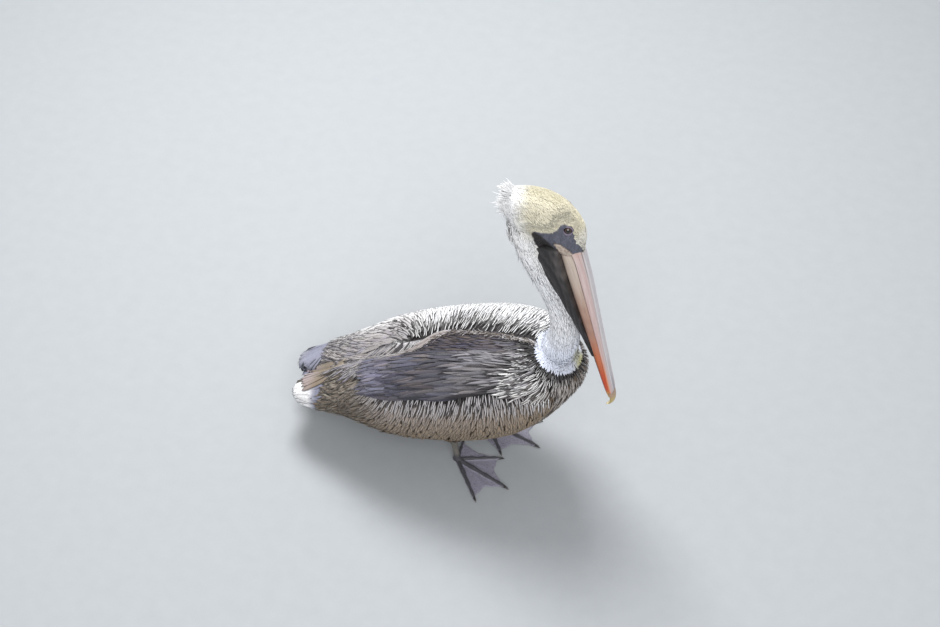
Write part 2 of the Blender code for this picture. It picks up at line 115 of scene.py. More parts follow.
# height, half width, half depth
SHANK = (
    (3, 6.2, 7.2),
    (8, 5.6, 6.4),
    (11.5, 4.6, 5.2),
    (18, 4.0, 5.0),
    (30, 3.8, 5.2),
    (42, 4.2, 6.0),
    (56, 5.2, 7.2),
)
# name, length, angle inwards from the middle toe, width, height
TOES = (
    ("hallux", 37, 112, 7, 7),
    ("inner", 66, 39, 8, 8),
    ("middle", 92, 0, 8.5, 9),
    ("outer", 82, -34, 8, 8),
)
CLAW_LONG = 9.0
LEFT, UP = np.array((0.0, 1, 0)), np.array((0.0, 0, 1))


# ---------------------------------------------------------------- sums
def unit(vectors):
    """The same directions, of length 1."""
    return vectors / np.maximum(np.linalg.norm(vectors, axis=-1, keepdims=True), 1e-9)


def ease(value, start, end):
    """0 before start, 1 after end, and a smooth rise between them; start may be the larger."""
    t = np.clip((np.asarray(value, float) - start) / (end - start), 0, 1)
    return t * t * (3 - 2 * t)


def between(one, other, share):
    return one + (other - one) * share


def mix(one, other, share):
    """Rows of colours or directions, each `share` of the way from one to the other."""
    return between(one, other, np.asarray(share, float)[..., None])


def linear(hexes):
    """An sRGB hex colour as linear red, green and blue."""
    c = np.array([int(hexes[i : i + 2], 16) for i in (1, 3, 5)]) / 255
    return np.where(c <= 0.04045, c / 12.92, ((c + 0.055) / 1.055) ** 2.4)


def colour(hexes):
    return (*linear(hexes), 1.0)


def curve(rows, at):
    """Values at each `at` on the smooth curve through rows, whose first value is the place."""
    rows = np.asarray(rows, float)
    rows = rows[::-1] if rows[0, 0] > rows[-1, 0] else rows
    x, y = rows[:, 0], rows[:, 1:]
    slope = np.empty_like(y)
    slope[1:-1] = (y[2:] - y[:-2]) / (x[2:] - x[:-2])[:, None]
    slope[0] = (y[1] - y[0]) / (x[1] - x[0])
    slope[-1] = (y[-1] - y[-2]) / (x[-1] - x[-2])
    at = np.asarray(at, float)
    i = np.clip(np.searchsorted(x, at, side="right") - 1, 0, len(x) - 2)
    span = (x[i + 1] - x[i])[..., None]
    t = np.clip((at - x[i])[..., None] / span, 0, 1)
    return (
        (2 * t**3 - 3 * t**2 + 1) * y[i]
        + (t**3 - 2 * t**2 + t) * span * slope[i]
        + (3 * t**2 - 2 * t**3) * y[i + 1]
        + (t**3 - t**2) * span * slope[i + 1]
    )


def circle(count):
    """That many angles in radians, evenly round a circle."""
    return np.radians(np.linspace(0, 360, count, endpoint=False))


def signed_power(value, power):
    return np.sign(value) * np.abs(value) ** power


def body_place(points):
    """For points near the trunk: their place along it, and their angle up from level in the tilted
    oval of its section there. Four rounds bring the place to rest."""
    place = points[:, 0].copy()
    for _ in range(4):
        z, tilt, wide, above, below = curve(TRUNK, place).T
        t = np.radians(tilt)
        rise = (points[:, 2] - z) * np.cos(t) - (points[:, 0] - place) * np.sin(t)
        place = points[:, 0] + np.sin(t) * rise
    up = np.abs(rise) / np.where(rise > 0, above, below)
    out = np.abs(points[:, 1]) / wide
    angle = np.degrees(np.arctan2(up ** (BODY_POWER / 2), out ** (BODY_POWER / 2)))
    return place, np.sign(rise) * angle


# ---------------------------------------------------------------- making pieces
def write_mesh(name, points, faces):
    """A mesh of points in millimetres and arrays of faces, each array with its own number of
    corners to a face; gives the mesh and all corners in a row."""
    mesh = bpy.data.meshes.new(name)
    mesh.vertices.add(len(points))
    mesh.vertices.foreach_set("co", ((points + ANKLES) * MM).astype(np.float32).ravel())
    corners = np.concatenate([f.ravel() for f in faces]).astype(np.int32)
    sizes = np.concatenate([np.full(len(f), f.shape[1]) for f in faces])
    starts = np.concatenate([[0], np.cumsum(sizes)[:-1]]).astype(np.int32)
    mesh.loops.add(len(corners))
    mesh.loops.foreach_set("vertex_index", corners)
    mesh.polygons.add(len(sizes))
    mesh.polygons.foreach_set("loop_start", starts)
    mesh.update(calc_edges=True)
    return mesh, corners


def make_piece(name, points, faces, material, stands_for=(), uvs=None, tints=None):
    """An object on the root body, from points in millimetres and arrays of faces. uvs are maps by
    name and tints the linear colours, both with one row a point."""
    mesh, corners = write_mesh(name, points, faces)
    mesh.validate()
    for key, places in (uvs or {}).items():
        layer = mesh.uv_layers.new(name=key)
        layer.data.foreach_set("uv", places[corners].astype(np.float32).ravel())
    if tints is not None:
        layer = mesh.color_attributes.new("plumage", "FLOAT_COLOR", "POINT")
        full = np.concatenate([np.clip(tints, 0, 1), np.ones((len(tints), 1))], 1)
        layer.data.foreach_set("color", full.astype(np.float32).ravel())
    mesh.shade_smooth()
    mesh.materials.append(material)
    obj = bpy.data.objects.new(name, mesh)
    bpy.context.scene.collection.objects.link(obj)
    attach(obj, "root")
    if stands_for:
        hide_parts(*stands_for)
    return obj


def grid_faces(rows, columns, closed=True):
    """Quads of a grid of rows; closed joins its last column to its first."""
    index = np.arange(rows * columns).reshape(rows, columns)
    index = np.concatenate([index, index[:, :1]], 1) if closed else index
    a, b = index[:-1], index[1:]
    return np.stack([a[:, :-1], a[:, 1:], b[:, 1:], b[:, :-1]], -1).reshape(-1, 4)


def closed_tube(rings):
    """Points and faces of rings (rows, columns, 3) joined in order, with a pole at each end."""
    rows, columns, _ = rings.shape
    points = np.concatenate([rings.reshape(-1, 3), [rings[0].mean(0)], [rings[-1].mean(0)]])
    here = np.arange(columns)
    there = np.roll(here, -1)
    last = (rows - 1) * columns
    start = np.stack([np.full(columns, rows * columns), there, here], -1)
    end = np.stack([np.full(columns, rows * columns + 1), last + here, last + there], -1)
    faces = [grid_faces(rows, columns), np.concatenate([start, end])]
    a, b, c = points[faces[0][:, 0]], points[faces[0][:, 1]], points[faces[0][:, 2]]
    outward = np.einsum("ij,ij->i", np.cross(b - a, c - a), a - points.mean(0)).sum()
    return points, faces if outward > 0 else [f[:, ::-1] for f in faces]


def join(*parts):
    """Several (points, faces) as one."""
    points, quads, threes, start = [], [], [], 0
    for part, faces in parts:
        points.append(part)
        for f in faces:
            (quads if f.shape[1] == 4 else threes).append(f + start)
        start += len(part)
    return np.concatenate(points), [np.concatenate(f) for f in (quads, threes) if f]


def remeshed(meshes, voxel):
    """Points and squares of one closed shell round all the meshes, about `voxel` millimetres to a
    square."""
    work = bmesh.new()
    for mesh in meshes:
        work.from_mesh(mesh)
    bmesh.ops.remove_doubles(work, verts=work.verts, dist=1e-6)
    joined = bpy.data.meshes.new("joined")
    work.to_mesh(joined)
    work.free()
    obj = bpy.data.objects.new("joined", joined)
    bpy.context.scene.collection.objects.link(obj)
    wrap = obj.modifiers.new("wrap", "REMESH")
    wrap.mode = "VOXEL"
    wrap.voxel_size = voxel * MM
    seen = obj.evaluated_get(bpy.context.evaluated_depsgraph_get())
    shell = seen.to_mesh()
    flat = np.empty(len(shell.vertices) * 3, np.float32)
    shell.vertices.foreach_get("co", flat)
    corners = np.empty(len(shell.loops), np.int32)
    shell.loops.foreach_get("vertex_index", corners)
    seen.to_mesh_clear()
    bpy.data.objects.remove(obj)
    bpy.data.meshes.remove(joined)
    return flat.reshape(-1, 3).astype(float) / MM - ANKLES, corners.reshape(-1, 4)


def add_up(index, values, count):
    """Sums of the rows of values that have the same index."""
    return np.stack([np.bincount(index, values[:, k], count) for k in range(3)], -1)


def smoothed(points, quads, rounds):
    """Draws each point halfway to the middle of its neighbours, `rounds` times."""
    here, there = quads.ravel(), np.roll(quads, -1, 1).ravel()
    count = np.bincount(here, minlength=len(points))[:, None]
    for _ in range(rounds):
        middle = add_up(here, points[there], len(points)) / np.maximum(count, 1)
        points = points + (middle - points) * 0.5
    return points


def normals_of(points, quads):
    """Each point's normal: the mean, by area, of those of the squares round it."""
    a, b, c, d = (points[quads[:, k]] for k in range(4))
    square = np.cross(c - a, d - b)
    return unit(add_up(quads.ravel(), np.repeat(square, 4, 0), len(points)))


# ---------------------------------------------------------------- the skin
FLESH = (
    "trunk", "tail", "wing_left", "wing_right", "neck_lower", "neck_middle", "neck_upper",
    "head", "crest", "thigh_left", "thigh_right",
)  # fmt: skip
SKIN_VOXEL = 2.5
# Bare face, seen from the side: x and z of its edge, from the gape's rear corner round by the eye.
FACE_EDGE = (
    (96, 504), (108, 504), (121, 506), (129, 511), (133, 520), (139, 520), (147, 513), (155, 502),
    (161, 487), (166, 470), (164, 448), (150, 436), (130, 430), (108, 446), (97, 474), (93, 496),
)  # fmt: skip
# Likewise the dark skin behind and below the corner of the mouth
GAPE_EDGE = ((90, 506), (106, 500), (118, 486), (131, 462), (140, 430), (90, 420))
# Likewise the root of the lower half of the bill, which runs up into the face
HORN_EDGE = ((125, 486), (133, 486), (145, 475), (153, 462), (156, 448), (138, 448), (130, 470))


def inside_outline(x, z, outline):
    """How far inside (positive) a closed outline each point lies, in millimetres."""
    nearest = np.full(x.shape, 1e9)
    inside = np.zeros(x.shape, bool)
    outline = np.array(outline, float)
    for (x0, z0), (x1, z1) in zip(outline, np.roll(outline, -1, 0)):
        along = (x - x0) * (x1 - x0) + (z - z0) * (z1 - z0)
        t = np.clip(along / ((x1 - x0) ** 2 + (z1 - z0) ** 2), 0, 1)
        nearest = np.minimum(nearest, np.hypot(x - x0 - t * (x1 - x0), z - z0 - t * (z1 - z0)))
        crosses = (z0 > z) != (z1 > z)
        inside ^= crosses & (x < x0 + (z - z0) / (z1 - z0 if z1 != z0 else 1e-9) * (x1 - x0))
    return np.where(inside, nearest, -nearest)


def bare_face(points):
    """Distance inside the edge of the bare face: positive on the bare skin."""
    x, y, z = points.T
    side = inside_outline(x, z, FACE_EDGE)
    wedge = np.abs(y) - 17 * ease(z, 458, 492)
    return np.where(x > 128, np.minimum(side, wedge), side)


def coat_depth(points):
    """How far the skin lies under the outline of the feathers: thinner up the neck and head and to
    the tail, and nothing on the bare face."""
    x, _, z = points.T
    depth = 6.5 - 3.4 * ease(z, 250, 290) - 1.0 * ease(z, 440, 490)
    depth = depth + 2.5 * ease(x, 62, 46) * ease(z, 490, 505)
    depth = np.where(z < 60, 2.0, depth)
    depth = between(depth, 1.6, ease(x, -180, -225))
    return depth * (1 - ease(bare_face(points), -2.5, 0.5))


def make_skin_shape():
    """The solids of flesh in one skin, sunk by the coat's depth. Gives its points, squares, normals
    and that depth."""
    meshes = [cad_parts[name].data for name in FLESH]
    points, quads = remeshed(meshes, SKIN_VOXEL)
    points = smoothed(points, quads, 5)
    normals = normals_of(points, quads)
    depth = coat_depth(points)
    points = points - normals * depth[:, None]
    x, _, z = points.T
    points[:, 0] += 0.92 * (48 - x).clip(0) * ease(z, 506, 518)  # the crest has no flesh in it
    points = smoothed(points, quads, 3)
    return points, quads, normals_of(points, quads), depth


def make_lookup(points, cell=3.0, reach=6):
    """A block of cells that knows, near the skin, the number of a skin point close by."""
    low = points.min(0) - (reach + 2) * cell
    size = np.ceil((points.max(0) - low) / cell).astype(int) + reach + 2
    cells = np.full(size, -1, np.int32)
    cells[tuple(((points - low) / cell).astype(int).T)] = np.arange(len(points))
    for _ in range(reach):
        for axis in (0, 1, 2):
            for step in (1, -1):
                cells = np.where(cells < 0, np.roll(cells, step, axis), cells)

    def near(places):
        spot = ((places - low) / cell).astype(int)
        return cells[tuple(np.clip(spot, 0, size - 1).T)]

    return near


def make_rings(quads, count, most=9):
    """For each skin point: itself and the points that share a square with it."""
    pairs = [quads[:, a] * count + quads[:, b] for a in range(4) for b in range(4)]
    keys = np.unique(np.concatenate(pairs))
    own, other = np.divmod(keys, count)
    rank = np.arange(len(keys)) - np.searchsorted(own, np.arange(count))[own]
    rings = np.tile(np.arange(count)[:, None], (1, most))
    kept = rank < most
    rings[own[kept], rank[kept]] = other[kept]
    return rings


SKIN, SKIN_QUADS, SKIN_NORMALS, SKIN_DEPTH = make_skin_shape()
skin_near = make_lookup(SKIN)
SKIN_RINGS = make_rings(np.asarray(SKIN_QUADS, np.int64), len(SKIN))


def on_skin(places):
    """Each place moved onto the skin, and the skin's normal there: onto the planes of the nearest
    skin point and of those round it, weighed by their closeness."""
    index = skin_near(places)
    known = (index >= 0)[:, None]
    for _ in range(2):
        ring = SKIN_RINGS[index]
        apart = np.square(places[:, None] - SKIN[ring]).sum(-1)
        index = ring[np.arange(len(ring)), apart.argmin(1)]
    ring = SKIN_RINGS[index]
    off = places[:, None] - SKIN[ring]
    apart = np.square(off).sum(-1)
    weight = np.exp((apart.min(1, keepdims=True) - apart) / 6.0)
    weight /= weight.sum(1, keepdims=True)
    normals = SKIN_NORMALS[ring]
    high = np.einsum("nkj,nkj,nk->n", off, normals, weight)[:, None]
    normal = unit(np.einsum("nkj,nk->nj", normals, weight))
    return np.where(known, places - normal * high, places), normal


def scatter(spacing, where):
    """Root places about `spacing` apart (one number, or three for x, y and z) on the part of the
    skin for which where(points) is true: many random points, of which each small box keeps one."""
    spacing = np.ones(3) * spacing
    corners = SKIN[SKIN_QUADS]
    square = np.cross(corners[:, 2] - corners[:, 0], corners[:, 3] - corners[:, 1])
    area = np.linalg.norm(square, axis=1) / 2 * where(corners.mean(1))
    count = int(area.sum() / spacing.prod() ** (2 / 3) * 8)
    face = chance.choice(len(area), count, p=area / area.sum())
    u, v = chance.random((2, count, 1))
    a, b, c, d = (corners[face, k] for k in range(4))
    places = a * (1 - u) * (1 - v) + b * u * (1 - v) + c * u * v + d * (1 - u) * v
    cube = np.floor(places / (spacing * 1.12)).astype(int) - 4000
    key = (cube[:, 0] * 10007 + cube[:, 1]) * 10009 + cube[:, 2]
    places = places[np.unique(key, return_index=True)[1]]
    return on_skin(places)[0]


# ---------------------------------------------------------------- where the feathers point
NECK_BASE = np.array((132.0, 0, 252))
BILL_CORE = np.array((163.0, 0, 470))
REARWARD = np.array((-math.cos(math.radians(20)), 0, -math.sin(math.radians(20))))


def flat_to(vectors, normals):
    """The vectors laid flat on the surface that has these normals, of length 1."""
    return unit(vectors - normals * np.einsum("ij,ij->i", vectors, normals)[:, None])


def lie_of_head(p, n):
    """Away from the root of the bill, then down with the neck."""
    down = ease(p[:, 2], 510, 470) * ease(p[:, 0], 118, 84)
    return flat_to(mix(unit(p - BILL_CORE), lie_of_neck(p, n), down), n)


def lie_of_neck(p, n):
    """Down along the neck."""
    way = np.radians(curve(NECK_LINE, p[:, 2])[:, 0])
    down = np.stack([-np.cos(way), np.zeros(len(p)), -np.sin(way)], -1)
    return flat_to(down, n)


def lie_of_body(p, n):
    """Out from the foot of the neck, then along the body to the rear."""
    away = p - NECK_BASE
    far = ease(np.linalg.norm(away, axis=1), 35, 120)
    return flat_to(mix(unit(away), REARWARD, far), n)


def lie_of_neck_foot(p, n):
    """Down the neck, turning out over the body at its foot."""
    return flat_to(mix(lie_of_body(p, n), lie_of_neck(p, n), ease(p[:, 2], 252, 276)), n)


def lie_of_back(p, n):
    """To the rear, spreading a little from the neck."""
    away = p - NECK_BASE
    far = ease(np.linalg.norm(away, axis=1), 40, 110)
    rear = REARWARD + LEFT * (0.0012 * (p[:, 1] + 25))[:, None]
    return flat_to(mix(unit(away), rear, far), n)


def lie_of_wing(p, n):
    """Down from the wing's upper edge, leaning ahead at the wrist and back towards the tip."""
    place, angle = body_place(p)
    near = 64 * ease(place, -55, -165) + 20 * ease(place, -150, -220)
    near = near - 30 * ease(place, 10, 120) + 26 * ease(angle, 35, -15)
    far = -24 + 24 * ease(place, 30, -30) + 84 * ease(place, -30, -135) + 24 * ease(angle, 55, 0)
    lean = np.radians(np.where(p[:, 1] < 0, near, far))
    down = flat_to(np.stack([np.zeros(len(p)), np.sign(p[:, 1]), -np.ones(len(p))], -1), n)
    down = flat_to(down - np.array((1.0, 0, 0)) * down[:, :1], n)
    back = flat_to(np.broadcast_to(REARWARD, p.shape), n)
    return flat_to(down * np.cos(lean)[:, None] + back * np.sin(lean)[:, None], n)


def lie_of_thigh(p, n):
    """Straight down, a little to the rear."""
    return flat_to(np.broadcast_to(np.array((-0.25, 0, -1.0)), p.shape), n)


# ---------------------------------------------------------------- vanes
def blade_faces(rings, columns):
    """Faces of one vane: a point at its root, rings across its top closed underneath, and a tip."""
    ring = 1 + columns * np.arange(rings)[:, None] + np.arange(columns)
    loop = np.concatenate([ring, ring[:, :1]], 1)
    a, b = loop[:, :-1], loop[:, 1:]
    quads = np.stack([a[:-1], b[:-1], b[1:], a[1:]], -1).reshape(-1, 4)
    root = np.stack([np.zeros_like(a[0]), b[0], a[0]], -1)
    tip = np.stack([a[-1], b[-1], np.full_like(a[-1], 1 + rings * columns)], -1)
    return [quads, np.concatenate([root, tip])]


def swelling(shares, widest, root=0.35, point=1.0):
    """Share of the full width at each share of the length: rises from root to 1 at `widest`, then
    falls along a quarter of an ellipse, raised to `point`, which draws the tip out."""
    rise = root + (1 - root) * np.sin(np.pi / 2 * np.clip(shares / widest, 0, 1))
    fall = np.sqrt(np.clip(1 - ((shares - widest) / (1 - widest)) ** 2, 0, 1))
    return np.where(shares < widest, rise, fall**point)


def vanes(path, ups, width, shares, widest=0.4, root=0.35, point=1.0, camber=0.12, columns=3):
    """One closed vane along each path (count, stations, 3): at each station its width times
    swelling() across, arched by camber of its width. Gives points, faces, and each point's place
    across (-1 to 1) and along (0 to 1)."""
    count, stations, _ = path.shape
    along = unit(np.gradient(path, axis=1))
    across = unit(np.cross(ups, along))
    up = np.cross(along, across)
    half = width[:, None] / 2 * swelling(shares, widest, root, point)
    u = np.linspace(1, -1, columns)
    mid = slice(1, stations - 1)
    ring = path[:, mid, None] + across[:, mid, None] * (half[:, mid, None] * u)[..., None]
    arch = camber * width[:, None] * (half[:, mid] / half.max(1, keepdims=True))
    ring = ring + up[:, mid, None] * (arch[..., None] * (1 - u * u))[..., None]
    rings = stations - 2
    points = np.concatenate([path[:, :1], ring.reshape(count, -1, 3), path[:, -1:]], 1)
    e = np.concatenate([[0.0], np.tile(u, rings), [0.0]])
    s = np.concatenate([[shares[0]], np.repeat(shares[1:-1], columns), [shares[-1]]])
    size = points.shape[1]
    start = (np.arange(count) * size)[:, None, None]
    faces = [(f[None] + start).reshape(-1, f.shape[1]) for f in blade_faces(rings, columns)]
    return points, faces, e, s


def walk(roots, lie, length, shares, low, high, turn, rise, stray):
    """Paths over the skin: from each root step by step the way lie(points, normals) gives, turned
    `turn` degrees and by `stray` radians more at each step, while the height over the skin grows
    from low to high as share ** rise. Gives the paths and the skin's normals along them."""
    shares = np.asarray(shares, float)
    place, normal = on_skin(roots)
    turn = np.radians(np.broadcast_to(turn, len(roots)))[:, None]
    path, ups = [], []
    for k, share in enumerate(shares):
        height = low + (high - low) * share**rise
        path.append(place + normal * np.reshape(height, (-1, 1)))
        ups.append(normal)
        if k + 1 < len(shares):
            way = lie(place, normal)
            way = way * np.cos(turn) + np.cross(normal, way) * np.sin(turn)
            step = (shares[k + 1] - share) * length
            place, normal = on_skin(place + way * np.reshape(step, (-1, 1)))
            turn = turn + stray
    return np.stack(path, 1), np.stack(ups, 1)


def atlas_place(points, normals):
    """A place on an unwrap of the skin's own shape: six views of it, from each side of a box, laid
    in a sheet of three by two."""
    axis = np.abs(normals).argmax(1)
    back = normals[np.arange(len(points)), axis] < 0
    low, high = SKIN.min(0), SKIN.max(0)
    share = (points - low) / (high - low).max()
    rest = np.array(((1, 2), (0, 2), (0, 1)))[axis]
    uv = np.take_along_axis(share, rest, 1) * 0.94 + 0.03
    return (uv + np.stack([axis, back.astype(int)], -1)) / np.array((3, 2))


def lay_coat(name, roots, path, ups, width, shares, tint, material, slot, **form):
    """A piece of plumage: a vane along each path, coloured by tint(e, s), with e the distance from
    the shaft and s the place along it, and a patch of the skin's unwrap for each vane."""
    shares = np.asarray(shares, float)
    points, faces, e, s = vanes(path, ups, width, shares, **form)
    _, normals = on_skin(roots)
    own = np.stack([(1 - e) / 2, s], -1)
    bake = atlas_place(roots, normals)[:, None] + 0.003 * (own - 0.5)[None]
    uvs = {"OFBake": bake.reshape(-1, 2), "vane": np.tile(own, (len(points), 1))}
    tints = tint(np.abs(e), s).reshape(-1, 3)
    return make_piece(name, points.reshape(-1, 3), faces, material, (), uvs, tints)


# ---------------------------------------------------------------- markings
WHITE, CREAM, YELLOW = linear("#FAFAFB"), linear("#CFC8AC"), linear("#CCC998")
SILVER, GREY, LILAC = linear("#E4E1E4"), linear("#AEA4A0"), linear("#8A8695")
TAUPE, BROWN, DARK = linear("#93826F"), linear("#5A493C"), linear("#1B1618")
SLATE, BLADE, BUFF = linear("#595A66"), linear("#9FA1B6"), linear("#CBC1B2")
MAUVE, SHADED, PALE_CREAM = linear("#7A7790"), linear("#DCE3F5"), linear("#E2DBC3")
NECK_FOOT_X = 133.0
MM_PER_DEGREE = 1.75  # down the right wing's side
# Lines between the tracts of the back: x, and y of the left wing's coverts' inner edge
LEFT_TRACT = (
    (-285, 40), (-266, 34), (-235, 20), (-200, 2), (-160, -18), (-133, -30), (-100, -30),
    (-75, -24), (-55, -8), (-35, 0), (14, -2), (45, -5), (80, -8), (112, -10),
)  # fmt: skip
# x, and y of the line between the taupe mantle and the scapulars
MANTLE_LINE = ((-133, -32), (-107, -29), (-39, -38), (24, -38), (83, -31), (112, -26))
# place, and angle of the scapulars' lower edge over the right wing
SCAPULAR_TRACT = (
    (-170, 58), (-143, 52), (-120, 44), (-66, 37), (-15, 33), (32, 32), (92, 29), (122, 22),
    (142, 12), (156, 2),
)  # fmt: skip


def painted(base, *layers):
    """A colour with each layer's colour, hex or linear, laid over it in turn by its share."""
    for tone, share in layers:
        base = mix(base, linear(tone) if isinstance(tone, str) else tone, share)
    return base


def on_neck(p):
    """1 inside the white of the head and neck, 0 outside the collar at its foot."""
    x, y, z = p.T
    round_foot = np.hypot((x - NECK_FOOT_X) / 29, y / 36)
    return np.maximum(ease(z, 268, 280), ease(round_foot, 1.05, 0.97) * ease(z, 225, 236))


def collar_and_shadow(p):
    """1 in the blackish collar round the foot of the neck, and behind it in the painted shadow that
    fills the hollow between the neck and the back.
    """
    x, y, z = p.T
    ring = np.hypot((x - NECK_FOOT_X) / 32, y / 40)
    # wider behind the neck: painted shadow in the hollow between the neck and the back
    wide = between(1.12, 1.5, ease(x, 125, 88) * ease(y, -34, -16))
    return ease(ring - wide, 0.08, -0.16) * ease(z, 212, 226)


def white_parts(p):
    """Head and neck: white, cream over the crown and face, a painted bluish shade down the neck,
    strongest at its foot, and yellow at its foot in front."""
    x, y, z = p.T
    crown = ease(z, 470, 505) * ease(x, 68, 98)
    cheek = ease(z, 420, 480) * ease(x, 88, 112) * 0.6
    side = np.maximum(ease(np.abs(y), 5, 19), ease(bare_face(p), -24, -8))
    return painted(
        WHITE,
        (mix(CREAM, PALE_CREAM, side), np.maximum(crown, cheek)),
        # painted shade: a bluish tone over the white, light down the neck and thick at its foot
        (SHADED, 0.15 * ease(z, 460, 400) + 0.7 * ease(z, 335, 262)),
        (YELLOW, ease(np.hypot((x - 170) / 14, y / 22), 1.3, 0.5) * ease(z, 285, 262)),
    )


def body_base(p):
    """Middle colour of the trunk's and wings' feathers by how high on the side they grow, turned
    white high on the left side as painted sunlight.
    """
    place, angle = body_place(p)
    rear = ease(place, -75, -150) * (p[:, 1] < 0)
    return painted(
        BROWN,
        (TAUPE, ease(angle, -62, -25)),
        (GREY, ease(angle, -8, 30)),
        (SILVER, ease(angle, 22, 48)),
        # painted sunlight: white high on the left side only
        (WHITE, ease(angle, 10, 40) * (p[:, 1] > 0)),
        (TAUPE * between(0.42, 0.5, rear)[:, None], 0.92 * rear),
    )


def past_left_tract(p):
    """Millimetres towards the bird's left from the inner edge of the left wing's coverts."""
    return p[:, 1] - curve(LEFT_TRACT, p[:, 0])[:, 0]


def past_mantle(p):
    """Millimetres towards the bird's right from the line between mantle and scapulars."""
    return curve(MANTLE_LINE, p[:, 0])[:, 0] - p[:, 1]


def over_right_wing(p):
    """Degrees up from the scapulars' lower edge over the right wing."""
    place, angle = body_place(p)
    return angle - curve(SCAPULAR_TRACT, place)[:, 0]


def below_scapulars(p):
    """Millimetres down the right wing from the scapulars' lower edge."""
    return -over_right_wing(p) * MM_PER_DEGREE


def right_shadow_band(p):
    """1 in the painted shadow on the right wing close under the scapulars."""
    return ease(below_scapulars(p), 34, 12) * ease(p[:, 0], -150, -90)


def left_shadow_band(p):
    """1 in the painted shadow along the left wing's inner edge, which widens to the rear."""
    wide = 27 + 22 * ease(p[:, 0], -45, -85)
    return ease(past_left_tract(p), wide + 20, wide) * ease(p[:, 0], -128, -98)


def plumage(p):
    """The plain colour of the coat at a place, which the skin under it carries too."""
    return mix(body_base(p), white_parts(p), on_neck(p))


def vary(count, spread):
    """A random lightness for each vane."""
    return np.exp(chance.normal(0, spread, (count, 1, 1)))


def some_dark(middle, share):
    """The same colours with that share of them, picked at random, turned nearly black."""
    return mix(middle, DARK, 0.85 * (chance.random(len(middle)) < share))


def streaked(middle, edge, e, amount, spread):
    """Vane colours: middle along the shaft turning to edge at both sides, as far as amount says,
    each vane a little lighter or darker by spread."""
    share = np.clip(e[None] * amount, 0, 1)
    return mix(middle[:, None], edge[:, None], share) * vary(len(middle), spread)


def plain(middle, edge, spread, amount=1.0):
    """The tint of vanes of one colour that darken to `edge` of it at both sides."""
    return lambda e, s: streaked(middle, middle * edge, e, amount, spread)


# ---------------------------------------------------------------- materials
def add(tree, kind, inputs=None, **settings):
    """Adds a node: settings are its own properties, inputs its sockets by name or number, each a
    value or another node's output."""
    made = tree.nodes.new("ShaderNode" + kind)
    for key, value in settings.items():
        setattr(made, key, value)
    for key, value in (inputs or {}).items():
        if isinstance(value, bpy.types.NodeSocket):
            tree.links.new(value, made.inputs[key])
        else:
            made.inputs[key].default_value = value
    return made


def calculate(tree, operation, *values):
    """The sum, product and so on of one or two values."""
    return add(tree, "Math", dict(enumerate(values)), operation=operation).outputs[0]


def remap(tree, value, start, end, low, high):
    """The value's range from start to end drawn out to low to high, and held at both ends."""
    return add(tree, "MapRange", {0: value, 1: start, 2: end, 3: low, 4: high}).outputs[0]


def own_place(tree):
    return add(tree, "TexCoord").outputs["Object"]


def own_map_place(tree):
    return add(tree, "UVMap", uv_map="vane").outputs[0]


def noise(tree, place, scale, detail, distortion=0.0):
    """Cloudy noise from 0 to 1, `scale` clouds to the metre or to the map's unit."""
    inputs = {"Vector": place, "Scale": scale, "Detail": detail, "Distortion": distortion}
    return add(tree, "TexNoise", inputs).outputs[0]


def new_material(name, **sockets):
    """A material with its shader's own sockets set; gives the material, its tree and its shader."""
    material = bpy.data.materials.new(name)
    material.use_nodes = True
    shader = material.node_tree.nodes["Principled BSDF"]
    for key, value in sockets.items():
        shader.inputs[key.replace("_", " ")].default_value = value
    return material, material.node_tree, shader


def paint(tree, shader, light):
    """Base colour: the piece's own tints times light."""
    tint = add(tree, "Attribute", attribute_name="plumage")
    shade = add(tree, "VectorMath", {0: tint.outputs[0], 3: light}, operation="SCALE")
    tree.links.new(shade.outputs[0], shader.inputs["Base Color"])


def bump_into(tree, shader, height, strength, distance_mm):
    made = add(tree, "Bump", {"Height": height, "Strength": strength, "Distance": distance_mm * MM})
    tree.links.new(made.outputs[0], shader.inputs["Normal"])


def feather_keratin(name, roughness, sheen, barb_mm, long_mm, relief):
    """Feather keratin, grown in barbs that slant off a shaft: a soft silky gloss. The barbs are
    about 0.5 mm apart on a real vane, too fine to show, so they are drawn barb_mm apart, and relief
    deep."""
    material, tree, shader = new_material(
        name, Roughness=roughness, Sheen_Weight=sheen, Sheen_Roughness=0.4, Specular_IOR_Level=0.28
    )
    across, along, _ = add(tree, "SeparateXYZ", {0: own_map_place(tree)}).outputs
    off_shaft = calculate(tree, "ABSOLUTE", calculate(tree, "SUBTRACT", across, 0.5))
    slant = calculate(tree, "ADD", calculate(tree, "MULTIPLY", off_shaft, -0.35), along)
    turns = 2 * math.pi * long_mm / barb_mm
    barbs = calculate(tree, "SINE", calculate(tree, "MULTIPLY", slant, turns))
    down = noise(tree, own_place(tree), 260.0, 3.0)
    light = remap(tree, barbs, -1.0, 1.0, 0.93, 1.04)
    cloud = remap(tree, down, 0.3, 0.7, 0.9, 1.08)
    paint(tree, shader, calculate(tree, "MULTIPLY", light, cloud))
    bump_into(tree, shader, calculate(tree, "ADD", barbs, down), 0.25, relief)
    return material


def downy_skin():
    """Skin under the coat and the bare face: matt and creased, with folds about 4 mm apart that run
    back from the bill, painted lighter on their crests and darker between them, as light and
    shade."""
    material, tree, shader = new_material("skin_bare_and_downy", Roughness=0.55, IOR=1.4)
    turned = {0: own_place(tree), 2: (0, 0.7, 0), 3: (1.0, 1.0, 0.45)}
    drawn_out = add(tree, "Mapping", turned).outputs[0]
    fold = noise(tree, drawn_out, 170.0, 5.0, 1.2)
    cell = add(tree, "TexVoronoi", {"Vector": drawn_out, "Scale": 300.0}).outputs[0]
    # painted light and shade: the folds' crests lighter, the hollows between them darker
    paint(tree, shader, remap(tree, fold, 0.4, 0.6, 0.8, 1.2))
    bump_into(tree, shader, calculate(tree, "ADD", fold, cell), 0.8, 1.2)
    return material


